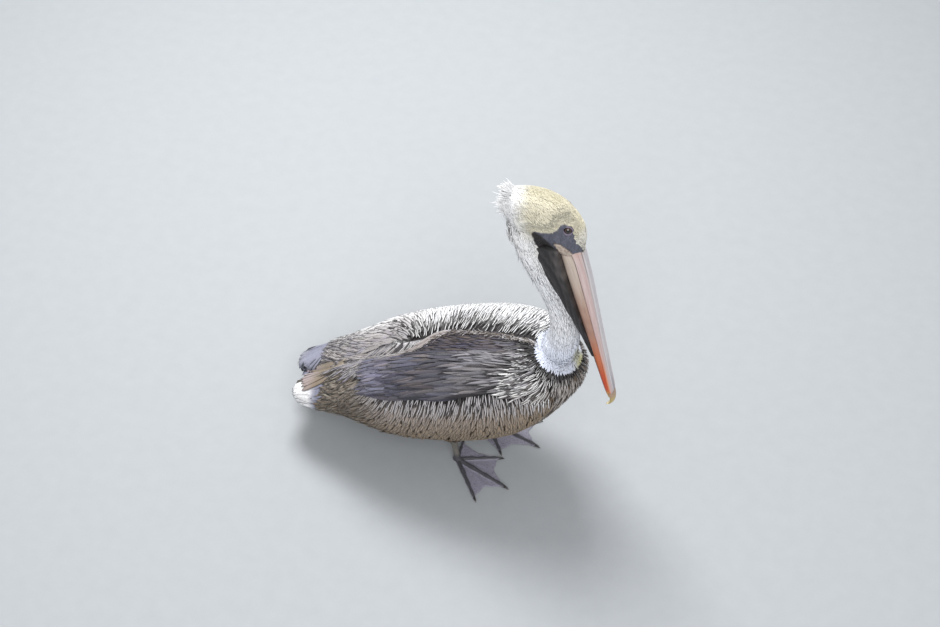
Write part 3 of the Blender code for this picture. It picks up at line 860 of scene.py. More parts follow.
def painted_keratin(name, roughness, coat, grain_mm, bump_mm, stretch):
    """Horn: layered keratin with fine growth lines, here along or across as stretch says, waxy."""
    material, tree, shader = new_material(
        name, Roughness=roughness, IOR=1.54, Coat_Weight=coat, Coat_Roughness=0.25
    )
    lines = add(tree, "Mapping", {0: own_map_place(tree), 3: stretch})
    grain = noise(tree, lines.outputs[0], 1 / grain_mm, 6.0)
    paint(tree, shader, remap(tree, grain, 0.3, 0.7, 0.8, 1.15))
    bump_into(tree, shader, grain, 0.5, bump_mm)
    return material


def scaled_skin():
    """Leg and foot skin: small horny scales about 2 mm across, satin."""
    material, tree, shader = new_material("foot_scaled_skin", Roughness=0.5, IOR=1.5)
    inputs = {"Vector": own_place(tree), "Scale": 480.0}
    to_edge = add(tree, "TexVoronoi", inputs, feature="DISTANCE_TO_EDGE").outputs[0]
    paint(tree, shader, remap(tree, to_edge, 0.0, 0.12, 0.55, 1.12))
    bump_into(tree, shader, remap(tree, to_edge, 0.0, 0.15, 0.0, 1.0), 0.5, 0.35)
    return material


def wet_eye():
    """A live eye's clear cornea over a brown iris: glass-smooth under a clear coat."""
    material, tree, shader = new_material(
        "eye_cornea_over_iris", Roughness=0.08, IOR=1.38, Coat_Weight=1.0, Coat_Roughness=0.02
    )
    paint(tree, shader, remap(tree, noise(tree, own_place(tree), 900.0, 4.0), 0.3, 0.7, 0.7, 1.4))
    return material


def studio_floor():
    """Matt pale paper-covered board."""
    material, tree, shader = new_material("floor_pale_paper", Roughness=0.9)
    pulp = noise(tree, own_place(tree), 40.0, 6.0)
    shade = add(tree, "MixRGB", {0: pulp, 1: colour("#A6AAAE"), 2: colour("#ADB1B4")})
    tree.links.new(shade.outputs[0], shader.inputs["Base Color"])
    return material


# name, roughness, sheen, barbs' spacing, vane's length, relief (all three in millimetres)
COAT_SHORT = feather_keratin("feather_short_down", 0.75, 0.15, 1.5, 12, 0.1)
COAT_COVERT = feather_keratin("feather_covert", 0.62, 0.06, 1.5, 22, 0.2)
COAT_LONG = feather_keratin("feather_long_vane", 0.5, 0.06, 1.6, 70, 0.25)
SKIN_FINISH = downy_skin()
# name, roughness, clear coat, grain, relief, the grain's shares across and along
BILL_FINISH = painted_keratin("bill_horn_keratin", 0.38, 0.25, 0.06, 0.25, (6.0, 0.5, 1.0))
CLAW_FINISH = painted_keratin("claw_horn_keratin", 0.35, 0.3, 0.1, 0.1, (4.0, 1.0, 1.0))
POUCH_FINISH = painted_keratin("pouch_elastic_skin", 0.48, 0.1, 0.05, 0.4, (9.0, 0.6, 1.0))
FOOT_FINISH = scaled_skin()
EYE_FINISH = wet_eye()


# ---------------------------------------------------------------- skin piece
SOCKET_DEEP = 5.5
EYE_WAY = np.array((0.28, 0.94, 0.17))


def build_skin():
    """The skin: slate where it is bare, sunk round each eyeball, and under the feathers the coat's
    colour darkened as painted shade, near black in the painted shadow along the wings' edges.
    """
    points = SKIN.copy()
    bare = ease(bare_face(points), -1.5, 0.5)
    for flip in (1, -1):
        way = unit(EYE_WAY * (1, flip, 1))
        off = points - EYE_PLACE * (1, flip, 1)
        out = off @ way
        ring = np.linalg.norm(off - out[:, None] * way, axis=1)
        near = (out > 0) & (np.sign(points[:, 1]) == flip)
        points = points - way * (SOCKET_DEEP * ease(ring, 7.6, 5.2) * near)[:, None]
    x, y, z = points.T
    _, angle = body_place(points)
    neck = on_neck(points)
    pale = ease(x, -85, -115) * ease(past_left_tract(points), -2, 4) * 0.8
    pale = np.maximum(pale, 0.8 * ease(angle, 12, -8) * (y < 0))
    # under the feathers the coat's colour darkened to 0.4: painted shade in the gaps between the
    # vanes; less so on the neck, the left wing's rear and the right wing's lower side
    under = plumage(points) * between(between(0.4, 1.0, pale), 0.97, neck)[:, None]
    # painted shadow along the wings' edges: the skin turned near black there
    dark = np.where(y < 0, right_shadow_band(points) * ease(angle, 62, 52), left_shadow_band(points))
    under = mix(under, DARK, dark * (1 - neck) * ease(z, 285, 270))
    root = inside_outline(x, z, HORN_EDGE)
    skin = painted(
        SLATE,
        ("#242021", ease(inside_outline(x, z, GAPE_EDGE), -1.5, 1.5)),
        ("#2B2629", 0.8 * ease(root, -3.0, -0.8)),
        ("#BAAA9D", ease(root, -0.8, 0.8)),
    )
    tints = mix(under, skin, bare)
    make_piece("skin", points, [SKIN_QUADS], SKIN_FINISH, FLESH, tints=tints)


build_skin()


# ---------------------------------------------------------------- bill, nail and pouch
MOUTH_RISE = 4.5  # the mouth's line lies this far towards the ridge from the solids' flat joint
SHELL_GAP = 0.15


def bill_line(share):
    """Middle of the bill at each share of its length, and the way to its ridge there: the line from
    root to tip, bent towards the ridge as a parabola whose height is BILL_BOW."""
    line = BILL_TIP - BILL_ROOT
    along = unit(line)
    ridge = np.array((-along[2], 0, along[0]))
    share = np.asarray(share, float)[:, None]
    centre = BILL_ROOT + line * share + ridge * BILL_BOW * 4 * share * (1 - share)
    along = unit(along + ridge * BILL_BOW * 4 * (1 - 2 * share) / np.linalg.norm(line))
    return centre, np.stack([-along[:, 2], np.zeros(len(along)), along[:, 0]], -1)


def mouth_rise(share):
    return MOUTH_RISE * ease(share, 0.0, 0.12) * (1 - 0.5 * ease(share, 0.6, 0.93))


def own_map(rows, columns):
    """Across and along, 0 to 1, for a grid and its two poles."""
    u, v = np.meshgrid(np.linspace(0, 1, columns), np.linspace(0, 1, rows))
    ends = np.array(((0.5, 0), (0.5, 1)))
    return np.concatenate([np.stack([u, v], -1).reshape(-1, 2), ends])


def make_tube(name, rings, tints, material, node, mapped=True):
    """A piece of rings with a pole at each end, in place of one solid: its tints (rows, columns, 3)
    have their rows' means at the poles, and its map runs across and along."""
    points, faces = closed_tube(rings)
    tints = np.concatenate([tints.reshape(-1, 3), [tints[0].mean(0)], [tints[-1].mean(0)]])
    maps = {"vane": own_map(*rings.shape[:2])} if mapped else None
    make_piece(name, points, faces, material, (node,), maps, tints)


def ridged(value, at, wide):
    """1 at a place, falling to nothing within about twice `wide` of it, along a bell curve."""
    return np.exp(-(((value - at) / wide) ** 2))


def bill_rings(start, ridge, across, rise):
    """Rings round the points of start: the points of each lie `across` to the left of its start and
    `rise` towards the ridge."""
    return start[:, None] + LEFT * across[..., None] + ridge[:, None] * rise[..., None]


def half_bill(shares, wide, tall, base, turn, dents):
    """Rings of half a bill: an arch with steep sides over a flat underside, dents(share, side) deep
    along its furrows. Gives rings, and each point's share of the length, its place out to the side
    (0 to 1) and its height (0 to 1)."""
    arch = np.radians(np.linspace(0, 180, 61))
    flat = np.linspace(-0.94, 0.94, 15)
    across = np.concatenate([signed_power(np.cos(arch), BILL_SIDES), flat])
    height = np.concatenate([np.sin(arch).clip(0) ** BILL_ARCH, np.full(15, 0.04)])
    share, u = np.meshgrid(shares, across, indexing="ij")
    centre, ridge = bill_line(shares)
    dent = dents(share, np.abs(u)) * (height > 0.1)
    rise = base[:, None] + height * tall[:, None] - dent
    rings = bill_rings(centre, ridge, u * (wide[:, None] - 0.5 * dent), turn * rise)
    return rings, share, np.abs(u), height


def build_upper_bill():
    """Upper half: a ridge between two furrows that run to the nail, and a rolled cutting edge."""
    shares = np.linspace(0.0, NAIL[0][0], 110)
    wide, ridge, _ = curve(BILL, shares).T
    base = mouth_rise(shares) + SHELL_GAP

    def furrows(share, side):
        fine = 0.35 * ridged(side, 0.83, 0.03)
        return 1.3 * ease(share, 0.02, 0.1) * (ridged(side, 0.52, 0.05) + fine)

    rings, share, side, height = half_bill(shares, wide, ridge - base, base, 1, furrows)
    streak = 0.5 + 0.3 * np.sin(share * 9 + side * 23) + 0.2 * np.sin(share * 31 - side * 61)
    nostril = np.hypot((share - 0.012) / 0.012, (side - 0.74) / 0.1)
    tints = painted(
        linear("#E2DBDC"),
        ("#D2BFBB", ease(side, 0.45, 0.8)),
        ("#6B5250", between(0.95, 0.6, ease(share, 0.05, 0.3)) * ridged(side, 0.52, 0.055)),
        ("#B98E8C", 0.5 * streak * ease(side, 0.5, 0.7)),
        ("#9C93A0", 0.45 * (1 - streak) * ease(side, 0.42, 0.2)),
        ("#B9927F", 0.5 * ease(share, 0.12, 0.0)),
        ("#DB7A45", 0.9 * (ease(share, 0.6, 0.82) * ease(height, 0.62, 0.25))),
        ("#7F7684", 0.7 * ease(share, 0.7, 0.93) * ease(side, 0.5, 0.2)),
        ("#5A4640", 0.9 * ease(height, 0.1, 0.03) * ease(share, 0.4, 0.15)),
        ("#4A343B", 0.9 * ease(nostril, 1.3, 0.6)),
    )
    make_tube("bill_upper_half", rings, tints, BILL_FINISH, "bill_upper")


def build_lower_bill():
    """Lower half: two flat bars, brownish pink turning orange red towards the tip."""
    shares = np.linspace(0.0, 0.965, 110)
    wide, _, edge = curve(BILL, shares).T
    base = SHELL_GAP - mouth_rise(shares)

    def furrows(share, side):
        return 0.8 * ease(share, 0.02, 0.1) * ridged(side, 0.72, 0.05)

    rings, share, side, height = half_bill(shares, wide - 1.2, edge - base, base, -1, furrows)
    blotch = 0.5 + 0.5 * np.sin(share * 26 + side * 7) * np.sin(share * 61 - side * 13)
    tints = painted(
        linear("#CDBCAE"),
        ("#B48E7C", ease(share, 0.15, 0.5)),
        ("#96705F", 0.4 * blotch * ease(share, 0.25, 0.5)),
        ("#CB7148", ease(share, 0.5, 0.74)),
        ("#D2502A", ease(share, 0.72, 0.84) * ease(share, 0.95, 0.88)),
        ("#E0AE5A", ease(share, 0.9, 0.95)),
        ("#6E5D58", 0.85 * ease(height, 0.55, 0.95)),
    )
    make_tube("bill_lower_half", rings, tints, BILL_FINISH, "bill_lower")


def build_nail():
    """The hooked nail: it rounds the tip and turns down over the lower half."""
    shares = np.concatenate([np.linspace(0.93, 1.0, 16), np.linspace(1.0, 1.03, 18)[1:]])
    wide, tall, drop = curve(NAIL, shares).T
    arch = np.radians(np.linspace(0, 180, 41))
    u = np.concatenate([np.cos(arch), np.linspace(-0.9, 0.9, 9)])
    height = np.concatenate([np.sin(arch).clip(0) ** BILL_ARCH, np.full(9, 0.05)])
    centre, ridge = bill_line(shares)
    start = centre - ridge * drop[:, None]
    rings = bill_rings(start, ridge, u * wide[:, None], 0.1 + height * tall[:, None])
    share = np.broadcast_to(shares[:, None], rings.shape[:2])
    tints = painted(
        linear("#AD8F78"),
        ("#BDA866", ease(share, 0.94, 0.99)),
        ("#DDD3A8", ease(share, 1.015, 1.03)),
    )
    make_tube("bill_hooked_nail", rings, tints, BILL_FINISH, "bill_nail")


def build_pouch():
    """The pouch, folded up under the lower half: pleats run along it, crossed by fine creases."""
    shares = np.linspace(POUCH[0][0], POUCH[-1][0], 120)
    deep, wide = curve(POUCH, shares).T
    edge = curve(BILL, shares)[:, 2]
    angle = circle(72)
    c, s = signed_power(np.cos(angle), 2 / 2.3), signed_power(np.sin(angle), 2 / 2.3)
    centre, ridge = bill_line(shares)
    start = centre - ridge * (edge - 3)[:, None]
    share, hang = np.meshgrid(shares, np.maximum(-s, 0), indexing="ij")
    pleat = 0.5 - 0.5 * np.cos(2 * np.pi * (3.2 * hang + 1.4 * np.sin(share * 7)))
    crease = 0.5 - 0.5 * np.cos(2 * np.pi * (share * 22 + 2 * hang + 0.8 * np.sin(share * 31)))
    size = np.clip(deep / 30, 0.15, 1)[:, None]
    sunk = size * (1.9 * pleat + 0.25 * crease) * ease(hang, 0.05, 0.3)
    rise = np.where(s > 0, 3 * s, s * (deep + 3)[:, None])
    across = c * wide[:, None] * (1 - sunk / wide[:, None])
    rings = bill_rings(start, ridge, across, rise + sunk * hang)
    slate = ease(hang, 0.3, 0.12) * ease(share, 0.35, 0.1)
    # uneven patches of slate near the mandible
    slate_patches = 0.5 + 0.25 * np.sin(share * 83 + 9 * hang) + 0.25 * np.sin(share * 47 - 31 * hang)
    tints = painted(
        linear("#2E292B"),
        # painted shade: near black where the pleats sink in, lighter on the ridges between
        ("#121011", ease(pleat, 0.05, 0.5)),
        ("#5D5654", 0.9 * slate * slate_patches),
        ("#121011", ease(share, 0.03, 0.01)),
    )
    make_tube("throat_pouch", rings, tints, POUCH_FINISH, "pouch")


build_upper_bill()
build_lower_bill()
build_nail()
build_pouch()


# ---------------------------------------------------------------- eyes
EYE_RADIUS = 8.0
PUPIL, IRIS = 2.7, 5.0
BALL, DOME = 7.9, 0.5  # the ball lies just inside the solid, and the cornea bulges as far again
LID_LONG, LID_HIGH = 6.5, 5.7
TO_BILL = np.array((0.93, 0, -0.36))


def eye_axes(flip):
    """The way the eye looks, and the ways square to it: towards the bill, and up."""
    way = unit(EYE_WAY * (1, flip, 1))
    ahead = unit(TO_BILL - way * (way @ TO_BILL))
    return way, ahead, np.cross(way, ahead) * flip


def build_eye(side, flip):
    """A ball with a domed cornea, in rings round the way it looks: pupil, brown iris, dark rim."""
    way, ahead, over = eye_axes(flip)
    polar = np.radians(np.linspace(1.5, 178.5, 60))[:, None]
    turn = circle(64)
    radius = BALL + DOME * ease(np.degrees(polar), 42, 8)
    out = way * (radius * np.cos(polar))[..., None]
    round_it = ahead * np.cos(turn)[:, None] + over * np.sin(turn)[:, None]
    rings = EYE_PLACE * (1, flip, 1) + out + round_it * (radius * np.sin(polar))[..., None]
    off_middle = np.broadcast_to(EYE_RADIUS * np.sin(polar), rings.shape[:2])
    off_middle = np.where(polar > 1.6, 99, off_middle)  # the back of the ball is all rim
    tints = painted(
        linear("#040303"),
        ("#2E1B14", ease(off_middle, PUPIL - 0.25, PUPIL + 0.15)),
        ("#553524", ease(off_middle, 3.4, 4.2) * ease(off_middle, 4.9, 4.3)),
        ("#150D0B", ease(off_middle, IRIS - 0.5, IRIS)),
    )
    node = "eye_" + side
    make_tube(node + "_ball", rings, tints, EYE_FINISH, node, mapped=False)


def build_lids(side, flip):
    """Lids: a fleshy rim round the eye, longer than high, thicker above, over the ball's edge."""
    way, ahead, over = eye_axes(flip)
    turn, tube = circle(96)[:, None], circle(20)
    long, high = LID_LONG * np.cos(turn), LID_HIGH * np.sin(turn)
    distance = np.hypot(long, high)
    middle = np.sqrt(EYE_RADIUS**2 - distance**2) + 0.35
    thick = 1.25 + 0.35 * ease(np.sin(turn), 0.2, 1) + 0.1 * np.sin(turn * 17)
    spread = (distance + 0.5 + thick * np.cos(tube)) / distance
    rings = EYE_PLACE * (1, flip, 1) + way * (middle - 0.5 + thick * 0.8 * np.sin(tube))[..., None]
    rings = rings + ahead * (long * spread)[..., None] + over * (high * spread)[..., None]
    shade = np.broadcast_to(np.sin(tube), spread.shape)
    # painted light and shade: the rim lighter where it faces out, darker where it turns in to the
    # ball
    tints = mix(linear("#3F3946"), linear("#857C8E"), ease(shade, -0.1, 0.95)).reshape(-1, 3)
    rows, columns, _ = rings.shape
    faces = grid_faces(rows + 1, columns) % (rows * columns)
    points = rings.reshape(-1, 3)
    a, b, c = (points[faces[0, k]] for k in range(3))
    if np.cross(b - a, c - a) @ (a - rings[0].mean(0)) < 0:
        faces = faces[:, ::-1]
    make_piece("eyelids_" + side, points, [faces], SKIN_FINISH, tints=tints)


for side, flip in (("left", 1), ("right", -1)):
    build_eye(side, flip)
    build_lids(side, flip)


# ---------------------------------------------------------------- legs and feet
FOOT_VOXEL = 0.9
SCUTE_MM, SCUTE_DEEP = 3.2, 0.22  # horny rings up the shank
KNUCKLES = (0.34, 0.64, 0.9)  # shares of a toe's length
# share of the claw, half width as a share of the toe's width, height over the floor
CLAW = ((-0.12, 0.5, 2.0), (0, 0.52, 2.0), (0.35, 0.44, 2.1), (0.7, 0.28, 1.5), (1, 0.08, 0.4))


def toe_way(side, inwards):
    """The way a toe points on the floor and the way square to it."""
    angle = math.radians(FOOT_TURN[side] + (1 if side == "right" else -1) * inwards)
    along = np.array((math.cos(angle), math.sin(angle), 0))
    return along, np.array((-along[1], along[0], 0))


def ovals(middles, side, up, half, high, count=20):
    """Oval rings round middles: half a width along side and half a height along up."""
    angle = np.linspace(0, 2 * np.pi, count, endpoint=False)
    across = np.cos(angle) * np.reshape(half, (-1, 1))
    rise = np.sin(angle) * np.reshape(high, (-1, 1))
    return middles[:, None] + side * across[..., None] + up * rise[..., None]


def toe_tube(side, toe):
    """A toe, tapering, with a swelling at each of its joints."""
    _, length, inwards, wide, tall = toe
    along, across = toe_way(side, inwards)
    share = np.linspace(0, 1, 40)
    size = (1 - 0.3 * share) * (0.9 + 0.16 * sum(ridged(share, at, 0.06) for at in KNUCKLES))
    half, high = wide / 2 * size, tall * 0.62 * size
    middles = ANKLE[side] + along * (length * share)[:, None] + UP * (tall * 0.33 * size)[:, None]
    return closed_tube(ovals(middles, across, UP, half, high))


def web_slab(side, one, other):
    """Web between two toes: a thin slab whose free edge is drawn in, with ribs along it."""
    heel = ANKLE[side]
    ends = [heel + toe_way(side, toe[2])[0] * (toe[1] - 3) for toe in (one, other)]
    t = np.linspace(0, 1, 26)[:, None]
    edge = ends[0] + (ends[1] - ends[0]) * t
    edge = edge + (heel - edge) * 0.16 * 4 * t * (1 - t)
    r = np.linspace(0.03, 1, 40)[:, None, None]
    flat = heel + (edge[None] - heel) * r
    ribs = 0.25 * np.sin(np.linspace(0, 1, 26) * np.pi * 6) * r[..., 0]
    top = flat + UP * (2.3 + ribs)[..., None]
    under = flat + UP * 0.35
    return closed_tube(np.concatenate([top, under[:, ::-1]], 1))


def build_leg(side):
    """Shank, heel, toes and webs in one skin, its soles flat on the floor."""
    heights = np.linspace(SHANK[0][0], SHANK[-1][0], 50)
    half, deep = curve(SHANK, heights).T
    lean = math.tan(math.radians(SHANK_LEAN))
    middles = ANKLE[side] + UP * heights[:, None]
    middles[:, 0] -= (heights - 11.5).clip(0) * lean
    shank = closed_tube(ovals(middles, LEFT, np.array((1.0, 0, 0)), half, deep))
    parts = [shank] + [toe_tube(side, toe) for toe in TOES]
    parts += [web_slab(side, one, other) for one, other in zip(TOES, TOES[1:])]
    solid = write_mesh("parts", *join(*parts))[0]
    points, quads = remeshed([solid], FOOT_VOXEL)
    bpy.data.meshes.remove(solid)
    points = smoothed(points, quads, 4)
    normal = normals_of(points, quads)
    rings = np.sin(points[:, 2] * 2 * np.pi / SCUTE_MM) * ease(points[:, 2], 9, 14)
    points = points + normal * (SCUTE_DEEP * rings)[:, None]
    points[:, 2] = points[:, 2].clip(0)
    z = points[:, 2]
    tints = painted(
        # partly painted sheen: the webs' pale lavender grey lightens the skin's own dark slate; the
        # toes above them stay darker
        linear("#9391A0"),
        ("#4A494E", ease(z, 2.6, 4.4)),
        ("#74706A", ease(z, 10, 22)),
        ("#3B3A3C", ease(z, 1.2, 0.1)),
    )
    nodes = ("shank_" + side, "foot_" + side)
    name = "leg_and_foot_" + side
    make_piece(name, points, [quads], FOOT_FINISH, nodes, tints=tints)


def build_claw(side, toe):
    """A claw, bent down towards its tip, with a blunt lower edge."""
    name, length, inwards, wide, _ = toe
    along, across = toe_way(side, inwards)
    share = np.linspace(-0.12, 1, 24)
    half, rise = curve(CLAW, share).T
    half = wide / 2 * half
    root = ANKLE[side] + along * length
    middles = root + along * (CLAW_LONG * share)[:, None] + UP * rise[:, None]
    rings = ovals(middles, across, UP, half, half * 1.15)
    rings[..., 2] = rings[..., 2].clip(0.02)
    tip = np.broadcast_to(ease(share, 0.6, 1)[:, None], rings.shape[:2])
    tints = mix(linear("#2B2727"), linear("#5E5650"), tip)
    node = f"claw_{name}_{side}"
    make_tube(node + "_horn", rings, tints, CLAW_FINISH, node)


for side in ("left", "right"):
    build_leg(side)
    for toe in TOES:
        build_claw(side, toe)


# ---------------------------------------------------------------- plumage, tract by tract
# shares of a vane's length at which its shape is worked out
FEW, SOME = (0, 0.3, 0.7, 1), (0, 0.2, 0.5, 0.82, 1)
MANY = (0, 0.08, 0.25, 0.45, 0.65, 0.82, 0.93, 1)
HEAD_FROM, NECK_TO = 466, 474  # heights between which the coats of head and neck overlap
EYE_CLEAR = 10.5
NAPE_LOOSE = 2.2  # the loosest feathers of the nape lift this many times the coat's depth more
WISPS, WISP_PLUMES = 56, 7
# place, centre height, tilt, half width, rise and drop of the tail
TAIL = (
    (-190, 90, 18, 66, 36, 40),
    (-208, 84, 17, 60, 27, 30),
    (-226, 78, 15, 60, 15, 19),
    (-250, 71, 14, 62, 8, 10),
    (-274, 64, 13, 57, 4, 4),
    (-288, 60, 13, 40, 2, 2),
)
TAIL_FEATHERS, TAIL_FEATHER_WIDE = 12, 17.0
TAIL_START, TAIL_MIDDLE = -196.0, np.array((-230.0, 0, 60))
WING_TIP_FEATHERS = 8


def depth_at(p):
    """How deep the coat is at each place."""
    return SKIN_DEPTH[skin_near(p)]


def faces_back(p):
    """1 where the skin looks to the rear, 0 on its sides and front."""
    return ease(-SKIN_NORMALS[skin_near(p)][:, 0], 0.45, 0.95)


def wing_edges(p):
    """Place and angle of each point, with the angles of the wing's lower and upper edge there."""
    place, angle = body_place(p)
    low, high = curve(WING, place).T
    return place, angle, low, high


def in_wing(p, margin):
    """True on a wing's upper side, that many degrees inside its edges."""
    place, angle, low, high = wing_edges(p)
    inside = (angle > low + margin) & (angle < high - margin)
    return inside & (place < 148) & (place > -290) & (p[:, 2] < 262)


def in_left_tract(p):
    """True on the coverts of the left wing, which spread over the back up to their inner edge."""
    place, angle = body_place(p)
    wing = in_wing(p, -1) & (p[:, 1] > 0)
    back = (angle > 40) & (p[:, 2] > 80)
    along = (p[:, 0] > -258) & (place < 150) & (on_neck(p) < 0.5)
    return (wing | back) & along & (past_left_tract(p) > 0)


def under_scapulars(p):
    """True where the long back feathers lie over the right wing."""
    return (p[:, 1] < 0) & (over_right_wing(p) > 0) & (body_place(p)[0] > -148)


def on_back(p):
    """True on the back behind the neck."""
    return (on_neck(p) < 0.5) & (p[:, 0] < 112) & (p[:, 2] < 275) & (body_place(p)[1] > 30)


def off_eye(p):
    """True out of reach of the eye."""
    return np.linalg.norm(np.abs(p) - EYE_PLACE, axis=1) > EYE_CLEAR


def thinned(roots, share):
    """The roots left when that share of them, at each place, is taken out at random."""
    return roots[chance.random(len(roots)) > share]


def grow(name, finish, slot, roots, lie, length, shares, low, high, turn, width, tint,
         rise=1.6, stray=0.0, **form):  # fmt: skip
    """A piece of plumage whose vanes walk over the skin from their roots."""
    path, ups = walk(roots, lie, length, shares, low, high, turn, rise, stray)
    lay_coat(name, roots, path, ups, width, shares, tint, finish, slot, **form)


def build_head_coat():
    """Head: very short dense feathers, like velvet, that end in a point on the bill's ridge."""
    where = lambda p: (p[:, 2] > HEAD_FROM) & (bare_face(p) < -0.3) & off_eye(p)
    close = scatter((2.0, 1.7, 1.7), lambda p: where(p) & (bare_face(p) > -9))
    behind = scatter((3.2, 1.5, 1.5), lambda p: where(p) & (bare_face(p) < -8))
    roots = np.concatenate([close, behind])
    near = ease(bare_face(roots), -14, -1)
    length = between(13.5, 4.4, near) * chance.uniform(0.85, 1.15, len(roots))
    high = between(depth_at(roots).clip(0, 3), 0.8, near) * chance.uniform(0.99, 1.01, len(roots))
    nape = faces_back(roots) * ease(roots[:, 2], 505, 490)
    high = high * (1 + 0.25 * nape + NAPE_LOOSE * nape * chance.uniform(0, 1.1, len(roots)) ** 3)
    turn = chance.normal(0, 3, len(roots))
    tint = plain(white_parts(roots), 0.98, 0.01, 0.8)
    grow(
        "coat_head", COAT_SHORT, "crown_feathers", roots, lie_of_head, length, FEW,
        high * 0.93, high, turn, 1.0 + length * 0.2, tint, widest=0.35, point=1.3, camber=0.02,
    )  # fmt: skip


def build_neck_coat():
    """Neck: short soft feathers lying down it, a little loose at the nape."""
    where = lambda p: (p[:, 2] < NECK_TO) & (on_neck(p) > 0.35) & (bare_face(p) < -0.3)
    roots = scatter((1.5, 1.5, 4.8), where)
    z = roots[:, 2]
    top, foot = ease(z, 452, NECK_TO), ease(z, 282, 264)
    nape = ease(z, 330, 420) * faces_back(roots) * (1 - top)
    length = (19 + 2 * nape - 12 * foot) * chance.uniform(0.85, 1.15, len(roots))
    depth = depth_at(roots) * (1 - 0.3 * foot)
    high = depth * (1 + NAPE_LOOSE * nape * chance.uniform(0, 1.1, len(roots)) ** 3)
    high = high * chance.uniform(0.99, 1.01, len(roots))
    turn = chance.normal(0, 3, len(roots))
    tint = plain(white_parts(roots), 0.98, 0.01, 0.8)
    grow(
        "coat_neck", COAT_SHORT, "neck_feathers", roots, lie_of_neck_foot, length, SOME,
        depth * between(0.95, 0.3, top), high, turn, 1.5 + length * 0.1, tint,
        widest=0.35, point=1.4, camber=0.02,
    )  # fmt: skip


def build_crest():
    """Nape: a loose fan of thin pointed plumes behind the crown, gathered in wisps."""
    count = WISPS * WISP_PLUMES
    shared = lambda values: np.repeat(values, WISP_PLUMES)
    high = shared(chance.uniform(0, 1, WISPS)) + chance.normal(0, 0.05, count)
    side = shared(chance.normal(0, 0.5, WISPS)) + chance.normal(0, 0.16, count)
    root = np.stack([between(52, 60, high.clip(0, 1)), side * 13, between(492, 550, high)], -1)
    root, normal = on_skin(root)
    rise = between(-0.7, 0.75, high) + shared(chance.normal(0, 0.2, WISPS))
    way = unit(np.stack([-np.ones(count), side * 0.5, rise], -1))
    length = shared(chance.uniform(14, 27, WISPS)) * chance.uniform(0.45, 1, count)
    length = length * between(0.55, 1.0, ease(high, 0.0, 0.5))
    shares = np.linspace(0, 1, 6)
    path = root[:, None] + way[:, None] * (length[:, None] * shares)[..., None]
    path = path - UP * (0.12 * length[:, None] * shares**2)[..., None] - normal[:, None] * 1.5
    ups = np.broadcast_to(-unit(np.cross(way, np.array((0, 1.0, 0.01))))[:, None], path.shape)
    tint = plain(np.broadcast_to(WHITE, (count, 3)), 0.95, 0.02, 0.8)
    lay_coat(
        "coat_nape_crest", root, path, ups, length * 0.04 + 0.6, shares, tint, COAT_SHORT,
        "crown_feathers", widest=0.25,
    )  # fmt: skip


def build_breast_coat():
    """Breast and shoulders: narrow dark feathers, each with a silver buff streak, out from a
    blackish collar."""

    def where(p):
        own = (on_neck(p) < 0.5) & (p[:, 0] > 20) & ~in_left_tract(p)
        front = (p[:, 0] > 88) | (body_place(p)[1] < 0)
        return own & front & (~in_wing(p, 3) | under_scapulars(p))

    roots = scatter(3.7, where)
    away = np.linalg.norm(roots - NECK_BASE, axis=1)
    length = between(13, 29, ease(away, 45, 90)) * chance.uniform(0.8, 1.2, len(roots))
    high = depth_at(roots)
    turn = chance.normal(0, 8, len(roots))
    _, angle = body_place(roots)
    # collar: the blackish collar and the painted shadow behind the neck
    collar = collar_and_shadow(roots)
    middle = painted(
        mix(BUFF, SILVER, 0.5),
        (WHITE, ease(angle, 0, 40)),
        (mix(TAUPE, BROWN, 0.5), 0.8 * ease(angle, -20, -50)),
        (DARK, 0.9 * collar),
    )
    middle = some_dark(middle, 0.25)
    edge = painted(DARK, (BROWN, 0.35 + 0.4 * ease(angle, 0, -50)), (DARK, collar))
    tint = lambda e, s: streaked(middle, edge, e**1.5, 1.5, 0.16)
    grow(
        "coat_breast", COAT_COVERT, "body_feathers", roots, lie_of_body, length, SOME,
        0.3 * high, high, turn, length * 0.16, tint,
    )  # fmt: skip


def build_belly_coat():
    """Belly, flanks and rump: plain dark brown feathers."""

    def where(p):
        x, _, z = p.T
        own = (x <= 22) & (x > -226) & (z > 62) & (body_place(p)[1] < 40)
        return own & ~in_wing(p, 2)

    roots = scatter((9, 5, 5), where)
    length = 26 * chance.uniform(0.8, 1.2, len(roots))
    high = depth_at(roots)
    turn = chance.normal(0, 9, len(roots))
    tint = plain(mix(BROWN, TAUPE, np.full(len(roots), 0.25)), 0.7, 0.1)
    grow(
        "coat_belly", COAT_COVERT, "body_feathers", roots, lie_of_body, length, SOME,
        0.3 * high, high, turn, length * 0.26, tint,
    )  # fmt: skip


def build_thigh_coat():
    """Thighs: short brown feathers ending in a loose cuff over the shank."""
    where = lambda p: (p[:, 2] <= 86) & (np.abs(np.abs(p[:, 1]) - 45) < 24) & (p[:, 0] > -60)
    roots = scatter((2.6, 2.6, 4.5), where)
    length = 14 * chance.uniform(0.8, 1.2, len(roots))
    turn = chance.normal(0, 10, len(roots))
    tint = plain(mix(BROWN, TAUPE, np.full(len(roots), 0.5)), 0.75, 0.1)
    grow(
        "coat_thighs", COAT_SHORT, "body_feathers", roots, lie_of_thigh, length, FEW,
        0.4, 2.4, turn, length * 0.24, tint,
    )  # fmt: skip


